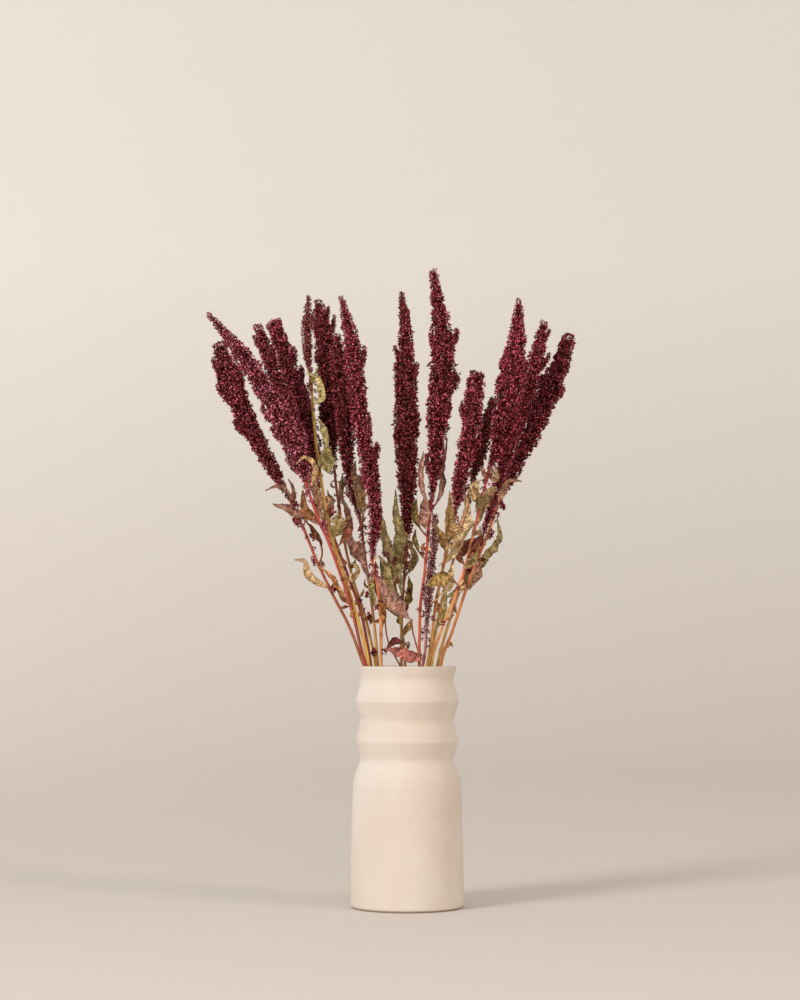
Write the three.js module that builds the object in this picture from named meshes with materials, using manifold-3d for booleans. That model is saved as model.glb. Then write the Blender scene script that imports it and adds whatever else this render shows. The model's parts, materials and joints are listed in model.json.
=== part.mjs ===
// A bunch of dried red amaranth in a thrown ceramic vase.
// Millimetres, +Z up, origin at the middle of the vase's flat base. Seen from the front, +X is to the
// right and +Y goes away from the viewer.
import * as THREE from 'three';
import { mergeVertices } from 'three/addons/utils/BufferGeometryUtils.js';
import Module from 'manifold-3d';

const wasm = await Module();
wasm.setup();

// The vase: a straight body, then a neck thrown as three grooves with two sharp ridges between them
const VASE_HEIGHT = 250;
const BODY_RADIUS = 59.2;
const MIDDLE = { up: 80, radius: 58 };
const SHOULDER = { up: 134, radius: 56.2 };
const GROOVES = [{ up: 152.7, radius: 48.3 }, { up: 193.8, radius: 48.7 }, { up: 236, radius: 47.9 }];
const RIDGES = [{ up: 171.9, radius: 53.8 }, { up: 213.6, radius: 54.2 }];
const RIM_RADIUS = 52.2;
const WALL = 4;
const LIP = 2.6;
const EDGE = 0.8;
const FLOOR = 6;
const VASE_SIDES = 30;

// The stems
const FOOT_RADIUS = 2;
const NECK_RADIUS = 1.4;
const STEM_SIDES = 5;
const STEM_STEP = 46;
const CLEARANCE = 0.3;
const FOOT_HEIGHT = FLOOR + 1.1;

// The plumes: a knobbly spike of packed florets, with short fingers of them standing out all round
const KNOB = 12.6;
const KNOB_OUT = 1.1;
const KNOB_IN = 0.78;
const UNEVEN = 0.12;
const SPIKE_SIDES = { slim: 6, full: 8, fullFrom: 15 };
const FINGER_LENGTH = 26;
const FINGER_SIDES = 5;
const FINGER_SPACING = 60;
const FINGER_SHAPE = [0.6, 1.05, 0.95, 0.45];
const FINGER_GIRTH = 0.54;
const FINGER_LEAST = 5.2;
const FINGER_BEND = { share: 0.45, reach: 0.8 };
const RULE_REACH = { share: 0.56, more: 0.8 };
const GOLDEN_ANGLE = 137.5;
const PLUME_TURN = 60;

// The leaves: a bare stalk, then a pointed blade folded along its midrib, with waved edges
const LEAF_MORE_STEPS = 2;
const LEAF_THICKNESS = 1.3;
const LEAF_TIP = 0.6;
const LEAF_SWELL = 0.8;
const LEAF_STALK = 1.7;
const LEAF_FOLD = 0.3;
const LEAF_WAVE = 0.16;
const LEAF_WAVE_STEP = 2.2;
const FRONT = new THREE.Vector3(0, -1, 0);

// Each stem is given by real sizes in millimetres. foot and mouth are [right, back], where it stands on
// the floor of the vase and where it crosses the level of the rim. stalk, neck and spike are
// [right, up]: the way of the bare stem, the place where the plume begins, and the way of the plume.
// back is how far behind the vase's axis its tip is. girth is the plume's width, evenly from neck to
// tip. fingers are [share of the plume's length, bearing, reach from its axis], with bearings in degrees:
// 0 right, 90 back. leaves are [height on the stem, share of the length that is bare stalk, how far back
// the tip is from the stem, width, facing, twist, then the points of its way]. facing is how many degrees
// the blade is turned away from the front, and twist is how many more it turns by its tip.
const STEMS = [
  {
    name: 'a', foot: [43, -15], mouth: [-43, -12], back: -95,
    stalk: [[-56, 303], [-67, 339], [-80, 375], [-93, 406]], neck: [-105, 441],
    spike: [[-112, 467], [-132, 510], [-157, 551], [-182, 584], [-204, 610]],
    girth: [8, 18, 22, 22, 20, 18, 16, 11, 6],
    fingers: [[0.44, 180, 13], [0.33, 180, 13], [0.16, 180, 11]],
    leaves: [
      [394, 0.1, 2, 11, 0, 10, [-97, 401], [-104, 411], [-107, 425], [-108, 432]],
      [318, 0.15, 6, 6, 20, 20, [-71, 330], [-80, 344], [-92, 354]],
      [431, 0.15, -27, 6.5, 20, 30, [-96, 443], [-97, 458], [-105, 463], [-113, 456]],
    ],
  },
  {
    name: 'b', foot: [45, -7], mouth: [-45, 0], back: -5,
    stalk: [[-61, 292], [-77.5, 324], [-95, 361], [-109, 395]], neck: [-123, 424],
    spike: [[-142, 458], [-158, 487], [-173, 517], [-186, 549], [-194, 572], [-197, 591]],
    girth: [6, 11, 15, 18, 20, 22, 23, 20, 12],
    fingers: [[0.78, 180, 14], [0.92, 180, 11], [0.82, 0, 13]],
    leaves: [
      [395, 0.1, -7, 11, 10, 25, [-107, 406], [-122, 412], [-141, 420]],
      [355, 0.4, -3, 9, 20, 40, [-89, 368], [-91, 379], [-99, 391], [-106, 402]],
      [331, 0.05, -4, 8.5, 15, -40, [-92, 337], [-103, 347], [-107, 360], [-118, 361]],
      [417, 0.1, -16, 5, 10, 30, [-123, 429], [-130, 437], [-139, 437], [-148, 433]],
      [415, 0.1, -16, 5.5, 30, 30, [-120, 427], [-120, 436], [-124, 445]],
    ],
  },
  {
    name: 'c', foot: [-30, -7], mouth: [-41, 8], back: 30,
    stalk: [[-53, 304], [-63, 335], [-76, 372], [-90, 409]], neck: [-105, 455],
    spike: [[-122, 506], [-136, 546], [-151, 587], [-160, 615]],
    girth: [8, 16, 20, 20, 18, 16, 15, 14, 9],
    fingers: [[0.94, 180, 8]],
    leaves: [
      [398, 0.1, -26, 10, 10, 15, [-92, 412], [-96, 430], [-98, 444], [-92, 455]],
      [400, 0.15, 32, 9, 60, 0, [-88, 420], [-93, 437]],
    ],
  },
  {
    name: 'd', foot: [-5, 33], mouth: [-38, 18], back: 95,
    stalk: [[-49, 307], [-61, 341], [-74, 376], [-87, 411]], neck: [-98, 452],
    spike: [[-103, 480], [-113, 529], [-129, 572], [-140, 608], [-148, 631]],
    girth: [6, 17, 20, 20, 20, 19, 18, 17, 10],
    fingers: [[0.97, 180, 8], [0.98, 0, 7], [0.8, 0, 13], [0.67, 0, 14]],
    leaves: [
      [400, 0.15, 32, 10, 50, 20, [-84, 425], [-86, 440]],
    ],
  },
  {
    name: 'e', foot: [-8, -3], mouth: [-39, -20], back: -45,
    stalk: [[-51, 298], [-62, 334], [-75, 373], [-84, 412], [-90, 448], [-95, 485]], neck: [-100, 547],
    spike: [[-103, 576], [-104, 601], [-102, 637]],
    girth: [5, 9, 11, 11, 9, 5],
    fingers: [],
    leaves: [
      [521, 0.05, -7, 8.5, 0, -30, [-88, 528], [-88, 538], [-93, 549], [-105, 553]],
      [538, 0.1, -4, 4, 20, 30, [-97, 549], [-92, 561]],
      [507, 0.1, -5, 7.5, 20, 20, [-88, 501], [-84, 488], [-83, 478], [-89, 469]],
      [467, 0.05, -5, 16, 0, 10, [-89, 465], [-83, 459], [-80, 449]],
      [465, 0.1, -1, 9, 20, 20, [-86, 469], [-79, 478]],
      [380, 0.1, -5, 13, 10, 40, [-76, 387], [-72, 397], [-72, 410]],
      [373, 0.2, -3, 9, 10, 40, [-70, 376], [-64, 388], [-63, 403]],
    ],
  },
  {
    name: 'f', foot: [3, 28], mouth: [-33, 29], back: 115,
    stalk: [[-46, 307], [-56, 336], [-65, 372], [-71, 407], [-76, 440]], neck: [-80, 478],
    spike: [[-83, 517], [-85, 562], [-90, 602], [-98, 654]],
    girth: [8, 18, 24, 25, 24, 23, 20, 16, 9],
    fingers: [[0.95, 0, 10], [0.88, 0, 15]],
    leaves: [
      [357, 0.1, -12, 6, 20, 30, [-57, 359], [-52, 351], [-59, 336]],
      [420, 0.15, 34, 11, 50, 20, [-72, 445], [-70, 460]],
    ],
  },
  {
    name: 'g', foot: [-26, -20], mouth: [-31, 14], back: 60,
    stalk: [[-36, 304], [-41, 341], [-46, 375]], neck: [-49, 402],
    spike: [[-60, 440], [-64, 481], [-67, 524], [-71, 568], [-76, 609]],
    girth: [6, 10, 11, 14, 18, 21, 20, 16, 8],
    fingers: [],
    leaves: [
      [399, 0.25, -38, 14, 5, 20, [-47, 412], [-48, 424], [-53, 434], [-58, 440]],
      [397, 0.42, -42, 10, 20, 30, [-46, 418], [-49, 439], [-56, 450], [-54, 465]],
      [371, 0.3, -27, 8.5, 25, 30, [-58, 385], [-60, 397], [-64, 412], [-72, 435]],
      [346, 0.28, -18, 15, 0, 10, [-45, 359], [-54, 373], [-66, 388]],
    ],
  },
  {
    name: 'h', foot: [-17, -31], mouth: [-27, -18], back: -45,
    stalk: [[-27.5, 298], [-31, 334]], neck: [-36, 360],
    spike: [[-33, 402], [-36, 443], [-46, 490], [-52, 536], [-57, 583], [-69, 634]],
    girth: [6, 12, 14, 16, 17, 16, 18, 18, 17, 12, 7],
    fingers: [[0.8, 0, 12], [0.44, 0, 13]],
    leaves: [
      [306, 0.1, -4, 7.5, 15, 20, [-35, 319], [-37, 333], [-36, 348]],
      [283, 0.2, 6, 6.5, 20, 20, [-25, 300], [-26, 314], [-29, 325]],
      [343, 0.6, -6, 2.4, 20, 0, [-35, 352], [-32, 368]],
    ],
  },
  {
    name: 'i', foot: [-3, 44], mouth: [-6, 30], back: 75,
    stalk: [[-6, 277], [-5, 309], [-3, 341]], neck: [-1, 371],
    spike: [[1, 406], [0, 471], [-1, 537], [-1, 603], [-6, 659]],
    girth: [5, 11, 15, 20, 23, 24, 24, 22, 18, 14, 12, 6],
    fingers: [[0.79, 180, 13], [0.72, 0, 12]],
    leaves: [
      [318, 0.1, -34, 13.5, 0, 12, [-8, 341], [-9, 362], [-8, 383], [-11, 406], [-12, 436]],
      [343, 0.2, -24, 9, 10, 20, [4, 354], [8, 367], [3, 379]],
      [305, 0.15, -14, 9, 10, 20, [1, 319], [3, 332], [2, 345]],
      [345, 0.15, 34, 10, 50, 20, [-4, 368], [-6, 386]],
    ],
  },
  {
    name: 'j', foot: [29, -34], mouth: [13, -14], back: -60,
    stalk: [[13, 282], [14, 314], [18, 345], [21, 376]], neck: [25, 420],
    spike: [[29, 458], [32, 513], [37, 561], [34, 609], [26, 661]],
    girth: [6, 12, 16, 20, 23, 24, 24, 20, 16, 12, 8],
    fingers: [[0.73, 180, 12], [0.74, 0, 17], [0.56, 0, 16]],
    leaves: [
      [262, 0.42, -20, 15, 5, 12, [6, 285], [4, 297], [-6, 308], [-19, 321], [-31, 342]],
      [388, 0.1, -8, 11.5, 0, 10, [18, 401], [18, 415], [19, 429]],
      [414, 0.2, -10, 7, 10, 20, [20, 422], [15, 434], [14, 453], [17, 472]],
      [411, 0.12, 13, 7, 10, 50, [32, 422], [36, 438], [35, 455], [39, 471], [42, 487]],
      [383, 0.3, 20, 8, 10, 10, [12, 396], [8, 411], [10, 425]],
      [360, 0.3, 14, 6.5, 10, 20, [12, 370], [8, 381], [9, 393]],
    ],
  },
  {
    name: 'k', foot: [-29, 1], mouth: [21, 5], back: -120,
    stalk: [[25.5, 277], [29, 308], [35.5, 344], [43, 380]], neck: [49, 406],
    spike: [[54, 440], [62, 477], [67, 509], [71, 548]],
    girth: [6, 12, 15, 17, 18, 18, 16, 12],
    fingers: [[0.95, 180, 9], [0.78, 180, 13]],
    leaves: [
      [364, 0.08, -46, 12, 0, 15, [42, 379], [44, 394], [44, 408], [43, 428]],
      [367, 0.1, -14, 9, 10, 30, [36, 379], [32, 389], [27, 398]],
      [322, 0.1, -10, 8.5, 10, 20, [42, 331], [44, 344], [48, 359]],
      [354, 0.05, 2, 13.5, 0, 15, [48, 368], [56, 383], [61, 400], [62, 417], [60, 430]],
    ],
  },
  {
    name: 'l', foot: [-15, 19], mouth: [24, 24], back: 150,
    stalk: [[30.5, 286], [39.5, 326], [53.5, 375], [64, 417]], neck: [72, 451],
    spike: [[82, 490], [91, 522], [98, 552]],
    girth: [6, 14, 16, 15, 13, 8],
    fingers: [],
    leaves: [
      [320, 0.1, -25, 8.5, 10, 20, [60, 335], [63, 350], [63, 363]],
      [284, 0.1, -8, 6, 20, 20, [37, 303], [41, 319], [42, 329]],
      [400, 0.15, 32, 10, 50, 20, [66, 424], [68, 441]],
    ],
  },
  {
    name: 'm', foot: [15, 31], mouth: [25, -20], back: -70,
    stalk: [[35, 286], [48, 319], [60, 353], [69, 389], [77, 422]], neck: [85, 452],
    spike: [[96, 483], [104, 524], [111, 565], [115, 629]],
    girth: [6, 16, 22, 25, 25, 22, 17, 13, 6],
    fingers: [[0.72, 180, 11], [0.66, 180, 13], [0.66, 0, 13]],
    leaves: [
      [409, 0.1, 4, 14, 5, 20, [80, 421], [86, 429], [94, 434]],
      [419, 0.1, -6, 11, 10, 30, [71, 428], [68, 435], [76, 442]],
      [447, 0.1, -9, 6, 10, 20, [80, 445], [76, 456]],
      [446, 0.1, -10, 6, 10, 20, [91, 442], [91, 458]],
      [390, 0.2, 6, 6.5, 20, 20, [76, 406], [81, 419], [86, 427]],
      [354, 0.1, 7, 9, 10, 10, [54, 363], [57, 375], [64, 381]],
      [333, 0.3, -12, 16, 0, 15, [46, 341], [37, 341], [29, 338], [20, 333]],
    ],
  },
  {
    name: 'n', foot: [3, 39], mouth: [32, 14], back: 75,
    stalk: [[38.5, 277], [48, 307], [57.5, 336], [68, 362]], neck: [80, 386],
    spike: [[92, 427], [109, 479], [127, 531], [140, 579], [150, 625]],
    girth: [6, 10, 12, 14, 15, 16, 17, 16, 14, 9],
    fingers: [[0.97, 0, 8], [0.86, 0, 13]],
    leaves: [
      [335, 0.2, -26, 9, 10, 25, [75, 349], [82, 365], [92, 375], [97, 386], [95, 406]],
      [327, 0.1, -12, 10, 10, 20, [71, 340], [75, 351], [79, 366]],
      [360, 0.1, -10, 11, 10, 20, [73, 371], [78, 377], [84, 379]],
      [266, 0.1, -4, 4, 10, 20, [44, 272], [47, 275], [48, 270]],
      [360, 0.15, 30, 9, 50, 20, [76, 384], [79, 400]],
    ],
  },
  {
    name: 'o', foot: [38, 9], mouth: [35, -8], back: -20,
    stalk: [[47, 286], [58, 319], [70, 352], [85, 389]], neck: [97, 423],
    spike: [[113, 457], [133, 500], [151, 543], [172, 597]],
    girth: [6, 12, 15, 19, 21, 21, 20, 17, 12],
    fingers: [[0.97, 180, 6], [0.73, 0, 13], [0.75, 180, 13]],
    leaves: [
      [414, 0.1, -30, 6, 10, 20, [100, 433], [106, 442], [119, 441]],
    ],
  },
  {
    name: 'p', foot: [-21, -38], mouth: [16, -31], back: -30,
    stalk: [[19, 269]], neck: [20, 291],
    spike: [[23, 327], [27, 376], [30, 410]],
    girth: [6, 9, 10, 9, 9, 6],
    fingers: [],
    leaves: [
      [258, 0.05, -5, 14, 15, 30, [3, 259], [-9, 264], [-23, 268]],
    ],
  },
  {
    name: 'q', foot: [-43, 15], mouth: [-2, 6], back: 10,
    stalk: [[-5, 283], [-9, 314], [-14, 343]], neck: [-20, 372],
    spike: [[-26, 386]],
    leaves: [
      [339, 0.1, -8, 10, 5, 15, [-17, 359], [-22, 381], [-26, 401], [-30, 419]],
      [322, 0.1, -8, 11, 5, 20, [-17, 334], [-21, 346], [-24, 357], [-30, 366]],
      [279, 0.12, -8, 7.5, 10, 20, [-1, 288], [6, 299]],
      [275, 0.1, -12, 8, 10, 20, [-13, 275], [-22, 268]],
    ],
  },
];

const PALE_STEMS = 'efikln';
const MAUVE_PLUMES = 'aep';

const material = (color, roughness) => new THREE.MeshStandardMaterial({ color, roughness, metalness: 0 });
const ceramic = material(0xe8dccb, 0.75);
const redStem = material(0xb5604a, 0.8);
const paleStem = material(0xb5924c, 0.8);
const redPlume = material(0x5a1626, 0.9);
const mauvePlume = material(0x7d3549, 0.9);

const radians = THREE.MathUtils.degToRad;
const mix = THREE.MathUtils.lerp;
const DIVISIONS = 40;

// A random number from 0 to 1 that is the same on every run
function drawer(seed) {
  let state = seed;
  return () => {
    state = (state * 1664525 + 1013904223) % 4294967296;
    return state / 4294967296;
  };
}

// A closed skin over rings of points, with a fan over each end. A folded skin has its faces split alike
// on both sides of the blade, so that the two sides never cross.
function skin(rings, folded = false) {
  const sides = rings[0].length;
  const corners = rings.flat();
  const index = [];
  const quad = (a, b, c, d, flip) => index.push(...(flip ? [a, b, d, b, c, d] : [a, b, c, a, c, d]));
  for (let row = 0; row + 1 < rings.length; row += 1) {
    for (let side = 0; side < sides; side += 1) {
      const next = (side + 1) % sides;
      const low = row * sides;
      const high = low + sides;
      quad(low + side, low + next, high + next, high + side, folded && side >= sides / 2);
    }
  }
  [rings[0], rings.at(-1)].forEach((ring, end) => {
    const middle = ring.reduce((sum, corner) => sum.add(corner), new THREE.Vector3()).divideScalar(sides);
    const first = end * (rings.length - 1) * sides;
    corners.push(middle);
    for (let side = 0; side < sides; side += 1) {
      const pair = [first + side, first + ((side + 1) % sides)];
      index.push(corners.length - 1, ...(end ? pair : pair.reverse()));
    }
  });
  const geometry = new THREE.BufferGeometry().setFromPoints(corners);
  geometry.setIndex(index);
  return geometry;
}

function solid(geometry) {
  return new wasm.Manifold(new wasm.Mesh({
    numProp: 3,
    vertProperties: new Float32Array(geometry.attributes.position.array),
    triVerts: new Uint32Array(geometry.index.array),
  }));
}

// Joins solids that grow from each other, and drops any scrap that the joining leaves loose
function grownTogether(geometries) {
  const whole = geometries.map(solid).reduce((sum, piece) => sum.add(piece));
  const [body] = whole.decompose().sort((one, other) => other.volume() - one.volume());
  const { vertProperties, triVerts } = body.getMesh();
  const geometry = new THREE.BufferGeometry();
  geometry.setAttribute('position', new THREE.BufferAttribute(vertProperties, 3));
  geometry.setIndex(new THREE.BufferAttribute(triVerts, 1));
  return geometry;
}

// The point at a distance along a curve, with the directions along it, to its right and to its back
function place(curve, distance) {
  const t = distance < curve.getLength() ? curve.getUtoTmapping(0, distance) : 1;
  const along = curve.getTangent(t);
  const right = new THREE.Vector3(along.z, 0, -along.x).normalize();
  return { point: curve.getPoint(t), along, right, back: along.clone().cross(right) };
}

function around(spot, angle, radius) {
  return spot.point.clone()
    .addScaledVector(spot.right, radius * Math.cos(angle))
    .addScaledVector(spot.back, radius * Math.sin(angle));
}

function ring(spot, sides, radiusOf) {
  return Array.from({ length: sides }, (_, side) => {
    return around(spot, (2 * Math.PI * side) / sides, radiusOf(side));
  });
}

// A value read from a list spread evenly from 0 to 1
function spread(list, share) {
  const at = THREE.MathUtils.clamp(share, 0, 1) * (list.length - 1);
  const low = Math.min(Math.floor(at), list.length - 2);
  return mix(list[low], list[low + 1], at - low);
}

// The whole way of a stem, from its foot to the tip of its plume, leaning back evenly above the mouth
function wayOf(stem) {
  const lean = (stem.back - stem.mouth[1]) / (stem.spike.at(-1)[1] - VASE_HEIGHT);
  const risen = ([right, up]) => {
    return new THREE.Vector3(right, stem.mouth[1] + lean * (up - VASE_HEIGHT), up);
  };
  const points = [
    new THREE.Vector3(...stem.foot, FOOT_HEIGHT),
    new THREE.Vector3(...stem.mouth, VASE_HEIGHT),
    ...[...stem.stalk, stem.neck, ...stem.spike].map(risen),
  ];
  const curve = new THREE.CatmullRomCurve3(points);
  curve.arcLengthDivisions = DIVISIONS * (points.length - 1);
  const neck = curve.getLengths()[DIVISIONS * (points.length - 1 - stem.spike.length)];
  return { curve, neck, length: curve.getLength() };
}

function distanceAtHeight(way, height) {
  let low = 0;
  let high = way.length;
  while (high - low > 0.01) {
    const middle = (low + high) / 2;
    if (place(way.curve, middle).point.z < height) low = middle;
    else high = middle;
  }
  return low;
}

function leaf(way, [height, bare, back, width, facing, twist, ...points]) {
  const { point: root } = place(way.curve, distanceAtHeight(way, height));
  const stops = points.map(([right, up], row) => {
    return new THREE.Vector3(right, root.y + (back * (row + 1)) / points.length, up);
  });
  const curve = new THREE.CatmullRomCurve3([root, ...stops]);
  curve.arcLengthDivisions = DIVISIONS * points.length;
  const steps = points.length + LEAF_MORE_STEPS;
  const rings = [];
  for (let step = 0; step <= steps; step += 1) {
    const share = step / steps;
    const t = curve.getUtoTmapping(share);
    const point = curve.getPoint(t);
    const along = curve.getTangent(t);
    const across = along.clone().cross(FRONT).normalize();
    across.applyAxisAngle(along, radians(facing + twist * share));
    const face = across.clone().cross(along);
    const blade = (share - bare) / (1 - bare);
    const swell = blade > 0 ? Math.sin(Math.PI * blade ** LEAF_SWELL) : 0;
    const half = Math.max(width * swell, LEAF_STALK) / 2;
    const wave = LEAF_WAVE * Math.sin(LEAF_WAVE_STEP * step);
    const lift = (sign) => swell * width * (LEAF_FOLD / 2 + sign * wave);
    const spot = (sideways, upward) => {
      return point.clone().addScaledVector(across, sideways).addScaledVector(face, upward);
    };
    const thick = (LEAF_THICKNESS / 2) * (step === steps ? LEAF_TIP : 1);
    rings.push([
      spot(half, lift(1)), spot(0, -thick), spot(-half, lift(-1)), spot(0, thick),
    ]);
  }
  return skin(rings, true);
}

function stalk(way) {
  const end = way.neck - CLEARANCE;
  const steps = Math.ceil(end / STEM_STEP);
  const rings = [];
  for (let step = 0; step <= steps; step += 1) {
    const radius = mix(FOOT_RADIUS, NECK_RADIUS, step / steps);
    rings.push(ring(place(way.curve, (end * step) / steps), STEM_SIDES, () => radius));
  }
  return skin(rings);
}

function leafyStem(stem, way) {
  return grownTogether([stalk(way), ...stem.leaves.map((row) => leaf(way, row))]);
}

function spike(stem, way, draw) {
  const length = way.length - way.neck;
  const sides = Math.max(...stem.girth) < SPIKE_SIDES.fullFrom ? SPIKE_SIDES.slim : SPIKE_SIDES.full;
  const steps = Math.round(length / KNOB);
  const rings = [];
  for (let step = 0; step <= steps; step += 1) {
    const share = step / steps;
    const half = spread(stem.girth, share) / 2;
    const spot = place(way.curve, way.neck + length * share);
    const bare = step === 0;
    rings.push(ring(spot, sides, (side) => {
      const knob = (step + side) % 2 ? KNOB_OUT : KNOB_IN;
      return bare ? half * KNOB_IN : half * knob * (1 + UNEVEN * (draw() - 0.5));
    }));
  }
  return skin(rings);
}

// A finger grows out of the spike and rises beside it
function finger(stem, way, [share, bearing, reach], draw) {
  const length = way.length - way.neck;
  const tipAt = way.neck + length * share;
  const rootAt = Math.max(tipAt - FINGER_LENGTH, way.neck + 2);
  const root = place(way.curve, rootAt);
  const top = place(way.curve, tipAt);
  const angle = radians(bearing);
  const tip = around(top, angle, reach);
  const bendAt = mix(rootAt, tipAt, FINGER_BEND.share);
  const bend = around(place(way.curve, bendAt), angle, reach * FINGER_BEND.reach);
  const curve = new THREE.QuadraticBezierCurve3(root.point, bend, tip);
  const half = Math.max(spread(stem.girth, share) * FINGER_GIRTH, FINGER_LEAST) / 2;
  const rings = FINGER_SHAPE.map((thick, row) => {
    const spot = place(curve, (curve.getLength() * row) / (FINGER_SHAPE.length - 1));
    return ring(spot, FINGER_SIDES, () => half * thick * (1 + 2 * UNEVEN * (draw() - 0.5)));
  });
  return skin(rings);
}

// Fingers by rule: one at every step up the spike, each a golden angle on from the one below
function fingersByRule(stem, way, number) {
  const length = way.length - way.neck;
  const count = Math.round(length / FINGER_SPACING);
  return Array.from({ length: count }, (_, step) => {
    const share = (step + 0.9) / (count + 0.4);
    const reach = RULE_REACH.share * spread(stem.girth, share) + RULE_REACH.more;
    return [share, GOLDEN_ANGLE * step + PLUME_TURN * number, reach];
  });
}

function plume(stem, way, number) {
  const draw = drawer(number + 1);
  const rows = [...stem.fingers, ...fingersByRule(stem, way, number)];
  return grownTogether([spike(stem, way, draw), ...rows.map((row) => finger(stem, way, row, draw))]);
}

function vase() {
  const turns = [GROOVES[0], RIDGES[0], GROOVES[1], RIDGES[1], GROOVES[2]];
  const outside = [
    [0, 0], [BODY_RADIUS - 2 * EDGE, 0], [BODY_RADIUS - EDGE / 2, EDGE], [BODY_RADIUS, 3 * EDGE],
    [MIDDLE.radius, MIDDLE.up], [SHOULDER.radius + EDGE / 2, SHOULDER.up - 6],
    [SHOULDER.radius, SHOULDER.up], [SHOULDER.radius - 1.2, SHOULDER.up + 3.4],
    ...turns.map(({ up, radius }) => [radius, up]),
    [RIM_RADIUS, VASE_HEIGHT - EDGE], [RIM_RADIUS - EDGE, VASE_HEIGHT],
  ];
  const bodyInside = BODY_RADIUS - WALL;
  const inside = [
    [RIM_RADIUS - LIP + EDGE, VASE_HEIGHT], [RIM_RADIUS - LIP, VASE_HEIGHT - EDGE],
    ...turns.reverse().map(({ up, radius }) => [radius - WALL, up]),
    [SHOULDER.radius - WALL - 1, SHOULDER.up], [bodyInside - 2, FLOOR + 8],
    [bodyInside - 6, FLOOR + 1], [bodyInside - 10, FLOOR], [0, FLOOR],
  ];
  const outline = [...outside, ...inside];
  const points = outline.map(([radius, up]) => new THREE.Vector2(radius, up));
  const geometry = new THREE.LatheGeometry(points, VASE_SIDES);
  geometry.rotateX(Math.PI / 2);
  geometry.deleteAttribute('normal');
  geometry.deleteAttribute('uv');
  return mergeVertices(geometry);
}

const part = new THREE.Group();

function add(name, geometry, finish) {
  geometry.computeVertexNormals();
  const mesh = new THREE.Mesh(geometry, finish);
  mesh.name = name;
  part.add(mesh);
}

add('vase', vase(), ceramic);
STEMS.forEach((stem, number) => {
  const way = wayOf(stem);
  const stemFinish = PALE_STEMS.includes(stem.name) ? paleStem : redStem;
  const plumeFinish = MAUVE_PLUMES.includes(stem.name) ? mauvePlume : redPlume;
  add(`leafy_stem_${stem.name}`, leafyStem(stem, way), stemFinish);
  if (stem.girth) add(`plume_${stem.name}`, plume(stem, way, number), plumeFinish);
});

export default part;
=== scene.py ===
"""Dried red amaranth in a thrown ceramic vase, in fine pieces that stand in for the solid model's.

Shapes are worked out in millimetres in the model's own frame, +Z up and the viewer on the -Y side,
and become metres when a piece is made.
"""
import json
import math

import bpy
import numpy as np
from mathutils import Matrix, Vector


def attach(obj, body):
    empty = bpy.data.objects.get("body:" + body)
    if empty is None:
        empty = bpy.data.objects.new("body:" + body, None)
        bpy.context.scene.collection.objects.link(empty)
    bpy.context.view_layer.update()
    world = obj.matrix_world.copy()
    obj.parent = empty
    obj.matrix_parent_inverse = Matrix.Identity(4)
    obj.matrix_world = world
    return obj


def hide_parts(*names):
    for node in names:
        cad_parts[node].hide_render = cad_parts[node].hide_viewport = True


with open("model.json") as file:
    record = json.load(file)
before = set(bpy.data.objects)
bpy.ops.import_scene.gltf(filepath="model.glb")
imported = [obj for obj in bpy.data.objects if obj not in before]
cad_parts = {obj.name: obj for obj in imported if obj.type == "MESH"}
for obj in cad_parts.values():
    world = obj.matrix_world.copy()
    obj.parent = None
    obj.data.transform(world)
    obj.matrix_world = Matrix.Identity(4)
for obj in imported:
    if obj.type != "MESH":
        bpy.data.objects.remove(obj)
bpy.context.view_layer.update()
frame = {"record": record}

MM = 0.001
GOLDEN_ANGLE = 137.5
GOLDEN_SHARE = 0.381966

# The vase. MIDDLE, SHOULDER and TURNS are (height, radius), and CORNERS says how far each corner of
# the outline is rounded, from the middle of the foot over the rim to the middle of the floor.
VASE_HEIGHT = 250
BODY_RADIUS = 59.2
FOOT_BEVEL = (2.6, 2.4)
MIDDLE = (80, 58)
SHOULDER = (134, 56.2)
TURNS = [(152.7, 48.3), (171.9, 53.8), (193.8, 48.7), (213.6, 54.2), (236, 47.9)]
RIM_RADIUS = 52.2
WALL = 4
LIP = 2.6
FLOOR = 6
CORNERS = [0, 1, 1.5, 30, 9, 3, 1.6, 3, 1.6, 4, 1.2, 1.2, 4, 3, 3, 3, 3, 8, 6, 4, 0]
CORNER_STEPS = 7
OUTLINE_STEP = (0.15, 6.0)
WOBBLE = 0.0012
VASE_SIDES = 104

# The stems
FOOT_RADIUS = 2
NECK_RADIUS = 1.4
FOOT_HEIGHT = FLOOR + 1.1
STEM_SIDES = 12
STEM_STEP = 2.4
STEPS_INSIDE = 30
TINT_DEPTH = 30
RIB_DEPTH = 0.07
WRINKLE_DEPTH = 0.035
KNOT_LENGTH = 3.2
KNOT_SWELL = 0.28
CURVE_STEPS = 40

# The plumes' fingers
FINGER_LENGTH = 26
FINGER_SPACING = 60
FINGER_SHAPE = [0.6, 1.05, 0.95, 0.45]
FINGER_GIRTH = 0.54
FINGER_LEAST = 5.2
FINGER_BEND = (0.45, 0.8)
FINGER_STEPS = 24
RULE_REACH = (0.56, 0.8)
PLUME_TURN = 60
CORE_SIDES = (10, 7)

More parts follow.
